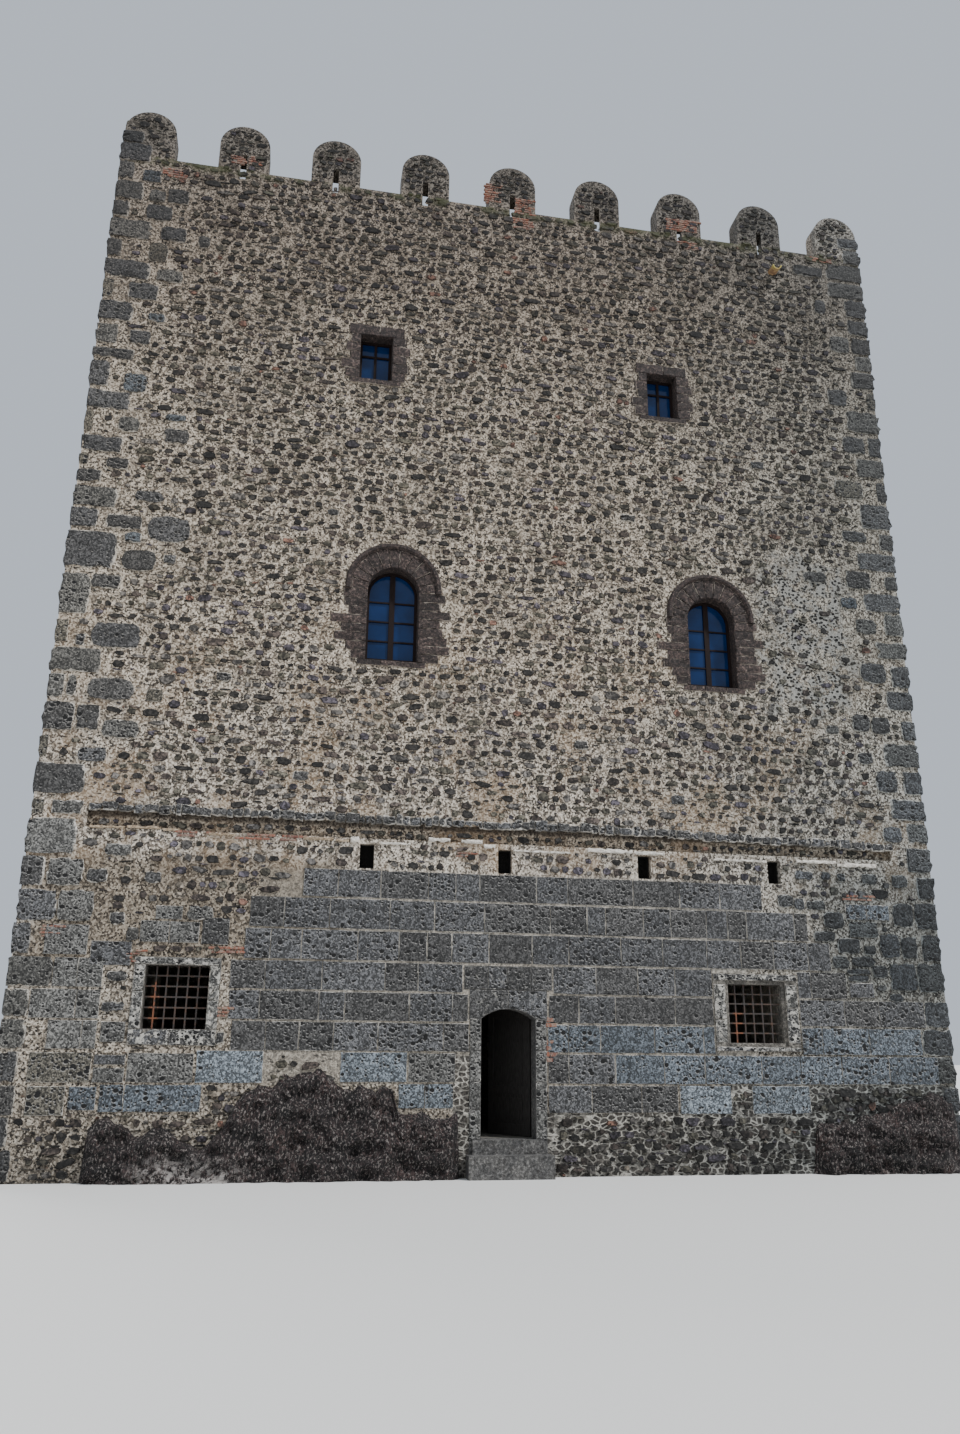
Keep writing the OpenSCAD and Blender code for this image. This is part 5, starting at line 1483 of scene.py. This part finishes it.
class KEEP_OT_frame_stones(KeepStep, bpy.types.Operator):
    """Rough faces of the doorway's stones and of the frames round the barred windows"""
    bl_idname = "keep.frame_stones"
    bl_label = "Doorway and frame stones"

    def execute(self, context):
        self.doorway()
        self.frames()
        return {"FINISHED"}

    @staticmethod
    def doorway():
        door = Stonework(sizes().seed + 9)
        rng = door.rng
        rough = {"bevel": 0.012, "rough": 0.006}
        heights = [DOOR_SILL_TOP + share * (DOOR_SPRING - DOOR_SILL_TOP) for share in JAMB_JOINTS]
        for way in (-1, 1):
            left, right = sorted((DOOR_U + way * DOOR_HALF, DOOR_U + way * (DOOR_HALF + JAMB_W)))
            for bottom, top in zip(heights, heights[1:]):
                door.block(FRONT, left, right, bottom, top, rng.uniform(*TONES["grey"]),
                           -0.016 - rng.uniform(0, 0.008), step=0.1, wander=0.8, **rough, **WORN)

            def half_lintel(s, t):
                across = way * LINTEL_HALF * s
                arch = np.sqrt(np.maximum(DOOR_ARCH_R ** 2 - across ** 2, 0)) + DOOR_SPRING + DOOR_ARCH_RISE
                arch = np.maximum(arch - DOOR_ARCH_R, DOOR_SPRING)
                under = np.where(abs(across) < DOOR_HALF, arch, DOOR_SPRING) + 0.003
                return DOOR_U + across, under + (LINTEL_TOP - under) * t

            door.slab(half_lintel, LINTEL_HALF, 0.45, -0.018, 0.03, rng.uniform(*TONES["dark"]),
                      lambda u, w, z: on_side(FRONT, u, w, z), step=0.07, wander=0.4, **rough)
        joints = [DOOR_U + (2 * share - 1) * DOOR_ROW_HALF for share in DOOR_ROW_JOINTS]
        for left, right in zip(joints, joints[1:]):
            door.block(FRONT, left, right, DOOR_ROW_LOW, DOOR_ROW_HIGH, rng.uniform(*TONES["dark"]), -0.018,
                       step=0.1, **rough, **ROUGH)
        door.make("doorway_stones", block_material(colours(), "doorway blocks", lime=0.35))

    @staticmethod
    def frames():
        """Rough stones in the shape of each barred window's frame, plain or moulded."""
        frames = Stonework(sizes().seed + 10)
        rng = frames.rng
        rough = {"bevel": 0.014, "rough": 0.008, "step": 0.07, "wander": 1.0, **ROUGH}
        for side in range(4):
            for u, sill, moulded in BARRED[side % 2]:
                width, over, under, edge = FRAME_EDGES[moulded]
                inner, outer, head = BARRED_HALF + edge, BARRED_HALF + width, sill + BARRED_H
                for left, right in ((-outer, -inner), (inner, outer)):
                    split = rng.uniform(0.35, 0.65)
                    for a, b in ((0, split), (split, 1)):
                        frames.block(side, u + left, u + right, sill + a * BARRED_H, sill + b * BARRED_H,
                                     rng.uniform(0.3, 0.5), -0.02 - rng.uniform(0, 0.01), **rough)
                for joints, low, high in (((-outer, outer), head + edge, head + over),
                                          ((-outer, -0.05, outer), sill - under, sill - edge)):
                    for left, right in zip(joints, joints[1:]):
                        frames.block(side, u + left, u + right, low, high, rng.uniform(0.02, 0.5),
                                     -0.024 - rng.uniform(0, 0.01), **rough)
        frames.make("frame_stones", block_material(colours(), "frame stones", lime=1.0))


class KEEP_OT_ledge(KeepStep, bpy.types.Operator):
    """Overhanging course above the chase, with plaster strips below it"""
    bl_idname = "keep.ledge"
    bl_label = "Ledge and chase"

    def execute(self, context):
        work = Stonework(sizes().seed + 4)
        rng = work.rng
        u, right, _, high, _ = CHASE
        start, run, most = LEDGE_SAG
        while u < right:
            width = rng.uniform(0.08, 0.3)
            drop = most * max(0.0, u - start) / run
            bottom = high - 0.03 - drop + rng.uniform(-0.02, 0.02)
            top = high - drop + rng.uniform(0.09, 0.17)
            work.boulder(FRONT, u, min(u + width, right + 0.05), bottom, top, rng.uniform(*TONES["dark"]),
                         rng.uniform(0.045, 0.068), rng.uniform(0.1, 0.5))
            u += width * 0.95
        work.make("ledge_stones", block_material(colours(), "ledge stones"))
        white = plaster_material("old plaster", "e2ddd3", "b9b1a5")
        self.strips("plaster_strips", PLASTER_STRIPS, 5, white, lower=0.005)
        self.strips("tan_plaster", TAN_STRIPS, 6, plaster_material("tan plaster", "b9a78f", "7f6c57"))
        return {"FINISHED"}

    @staticmethod
    def strips(name, places, number, finish, lower=0.0):
        """Remains of plaster; those of one kind are one piece."""
        work = Stonework(sizes().seed + number)
        for left, right, low, high, out in places:
            work.block(FRONT, left, right, low - lower, high, 0.5, -out, bevel=0.02, rough=0.006, step=0.06,
                       wander=1, **ROUGH)
        work.make(name, finish)


class KEEP_OT_bricks(KeepStep, bpy.types.Operator):
    """Thin red bricks that patch the masonry"""
    bl_idname = "keep.bricks"
    bl_label = "Brick patches"

    def execute(self, context):
        work = Stonework(sizes().seed + 7)
        rng = work.rng
        for side, place, half, low, high in BRICK_PATCHES:
            z = low
            while z < high:
                tall = rng.uniform(0.038, 0.055) if half > 0.06 else rng.uniform(0.07, 0.1)
                u = place - half + rng.uniform(-0.04, 0.02)
                while u < place + half:
                    wide = rng.uniform(0.08, 0.22)
                    if rng.random() < 0.85:
                        work.block(side, u, u + wide, z, z + tall, rng.random(),
                                   -0.012 - rng.uniform(0, 0.012), bevel=0.008, rough=0.003, step=0.08,
                                   **ROUGH)
                    u += wide
                z += tall + BRICK_JOINT
        work.make("brick_patches", brick_material())
        return {"FINISHED"}


class KEEP_OT_rubble(KeepStep, bpy.types.Operator):
    """Rows of rubble on each side, on the parapet and the merlons, set by a node tree"""
    bl_idname = "keep.rubble"
    bl_label = "Rubble"

    def execute(self, context):
        seed = sizes().seed
        tree, kinds, finish = scatter_tree(), stone_kinds(seed), rubble_material(colours())

        def lay(name, places, number):
            scatter(name, tree, kinds, finish, places, seed + number)

        front = self.wall(FRONT, seed)
        low = front[UP] < FRONT_SPLIT
        lay("rubble_front_low", [kept(front, low)], 30)
        lay("rubble_front_high", [kept(front, ~low)], 31)
        for side, name in ((RIGHT, "right"), (BACK, "back"), (LEFT, "left")):
            lay(f"rubble_{name}", [self.wall(side, seed)], 32 + side)
        lay("rubble_merlons", self.merlons(seed), 50)
        lay("footing_stones", self.footing(seed), 61)
        lay("chase_stones", self.chase(seed), 71)
        for stone in list(kinds.objects):
            bpy.data.objects.remove(stone)
        bpy.data.collections.remove(kinds)
        return {"FINISHED"}

    @staticmethod
    def wall(side, seed):
        """Rows of one side, from the footing up to the merlons, with a break at the front's ledge."""
        rng = np.random.default_rng(seed + 20 + side)
        left, right, top = 0.02 - span_half(side), span_half(side) - 0.02, CRENEL - 0.06
        if side != FRONT:
            rows = laid_rows(rng, side, left, right, FOOTING_TOP, top, 1.15)
            return kept(rows, clear(side, rows))
        rows = laid_rows(rng, side, left, right, OVER_LEDGE, top, spaced=0.78)
        tight = laid_rows(rng, side, left, right, FOOTING_TOP, UNDER_LEDGE, 1.06, spaced=0.25)
        tight = kept(tight, (tight[TALL] > 0.062) | (rng.random(len(tight[TALL])) < 0.2))
        rows = [np.concatenate(pair) for pair in zip(rows, tight)]
        rows = kept(rows, clear(side, rows))
        middle, half_u, level, half_z = PLASTERED
        plastered = (abs(rows[ACROSS] - middle) < half_u) & (abs(rows[UP] - level) < half_z)
        return kept(rows, ~plastered | (rng.random(len(plastered)) < 0.4))

    @staticmethod
    def merlons(seed):
        """Small rows within each merlon's round head, clear of its loop."""
        places = []
        for side in range(4):
            rng = np.random.default_rng(seed + 40 + side)
            centres = merlon_places(side)
            for i, u in enumerate(centres):
                rows = laid_rows(rng, side, u - 0.52, u + 0.52, CRENEL - 0.05, CRENEL + 1.16, 0.85,
                                 spaced=0.35)
                over, up = abs(rows[ACROSS] - u), np.maximum(rows[UP] - CRENEL - MERLON_RISE, 0)
                inside = np.hypot(over, up) < MERLON_W / 2 - 0.05 - rows[TALL] / 2
                inside &= over + rows[WIDE] / 2 < MERLON_W / 2 + 0.01
                if 0 < i < len(centres) - 1:
                    beside_loop = over > LOOP_W / 2 + rows[WIDE] / 2
                    inside &= beside_loop | (rows[UP] > LOOP_HIGH + rows[TALL] / 2)
                places.append(kept(rows, inside & clear(side, rows)))
        return places

    @staticmethod
    def footing(seed):
        """Stones in the footing, and on the front beside the rock and the left jamb too."""
        places = []
        for side in range(4):
            rng = np.random.default_rng(seed + 60 + side)
            left, right = 0.3 - span_half(side), span_half(side) - 0.3
            rows = laid_rows(rng, side, left, right, 0.02, 1.5, 1.0, spaced=0.4)
            limit = rows[UP] < FOOTING_TOP
            if side == FRONT:
                u, (beside_jamb, reach) = rows[ACROSS], FOOTING_JAMB
                limit |= (u < FOOTING_LEFT) | ((u > FOOTING_GAP[0]) & (u < FOOTING_GAP[1]))
                limit |= (u > FOOTING_RIGHT) & (rows[UP] < FOOTING_RIGHT_TOP)
                limit |= abs(u - beside_jamb) < reach
            rows[PROUD] = np.minimum(rows[PROUD] * 1.4, 0.05)
            places.append(kept(rows, limit & clear(side, rows)))
        return places

    @staticmethod
    def chase(seed):
        """Stones in the chase and on the strip of wall below it, clear of plaster, bricks and beam holes."""
        rng = np.random.default_rng(seed + 70)
        left, right, low, high, depth = CHASE
        groove = laid_rows(rng, FRONT, left + 0.02, right - 0.02, low + 0.04, high - 0.12, 0.85, depth)
        lip = laid_rows(rng, FRONT, left, right, 5.5, low - 0.1, 0.75, 0.0)
        strips = Taken()
        for strip in PLASTER_STRIPS + TAN_STRIPS:
            strips.box(*strip[:4])
        for u in BEAM_HOLES:
            strips.beside(u, *BEAM_HOLE)
        for _, place, half, low, high in BRICK_PATCHES:
            strips.beside(place, half, low, high)
        return [groove, kept(lip, strips.clear_of(lip))]


class KEEP_OT_rock(KeepStep, bpy.types.Operator):
    """Bedrock that breaks out at the foot of the front"""
    bl_idname = "keep.rock"
    bl_label = "Bedrock"

    def execute(self, context):
        points, faces = [], []
        for outline in (ROCK_LEFT, ROCK_RIGHT):
            grid = crag(outline)
            faces += crag_faces(*grid.shape[:2], len(points))
            front = grid.reshape(-1, 3)
            back = front.copy()
            back[:, 1] = -FACE_Y + ROCK_BACK
            points += front.tolist() + back.tolist()
        mesh = bpy.data.meshes.new("bedrock")
        mesh.from_pydata(points, [], faces)
        piece = finished("bedrock", mesh, rock_material())
        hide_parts("rock_outcrops")
        return {"FINISHED"}


class KEEP_PT_pieces(bpy.types.Panel):
    """Lists the pieces of the keep in the order they are made"""
    bl_label = "Castle keep"
    bl_idname = "KEEP_PT_pieces"
    bl_space_type = "VIEW_3D"
    bl_region_type = "UI"
    bl_category = "Keep"

    def draw(self, context):
        for step in STEPS:
            self.layout.operator(step.bl_idname)
        for group in (context.scene.keep_sizes, context.scene.keep_colours):
            column = self.layout.column()
            for prop in group.bl_rna.properties:
                if prop.identifier not in ("rna_type", "name"):
                    column.prop(group, prop.identifier)


STEPS = (KEEP_OT_stage, KEEP_OT_frame_finishes, KEEP_OT_corner_stones, KEEP_OT_squared_blocks,
         KEEP_OT_window_stones, KEEP_OT_frame_stones, KEEP_OT_ledge, KEEP_OT_bricks, KEEP_OT_rock,
         KEEP_OT_rubble)
CLASSES = (KeepSizes, KeepColours, *STEPS, KEEP_PT_pieces)
TAKEN = [Taken(side) for side in range(4)]


def register():
    for cls in CLASSES:
        bpy.utils.register_class(cls)
    bpy.types.Scene.keep_sizes = bpy.props.PointerProperty(type=KeepSizes)
    bpy.types.Scene.keep_colours = bpy.props.PointerProperty(type=KeepColours)


def unregister():
    del bpy.types.Scene.keep_colours
    del bpy.types.Scene.keep_sizes
    for cls in reversed(CLASSES):
        bpy.utils.unregister_class(cls)


def main():
    """Makes every piece in order."""
    register()
    for step in STEPS:
        group, name = step.bl_idname.split(".")
        getattr(getattr(bpy.ops, group), name)()


if __name__ == "__main__":
    main()
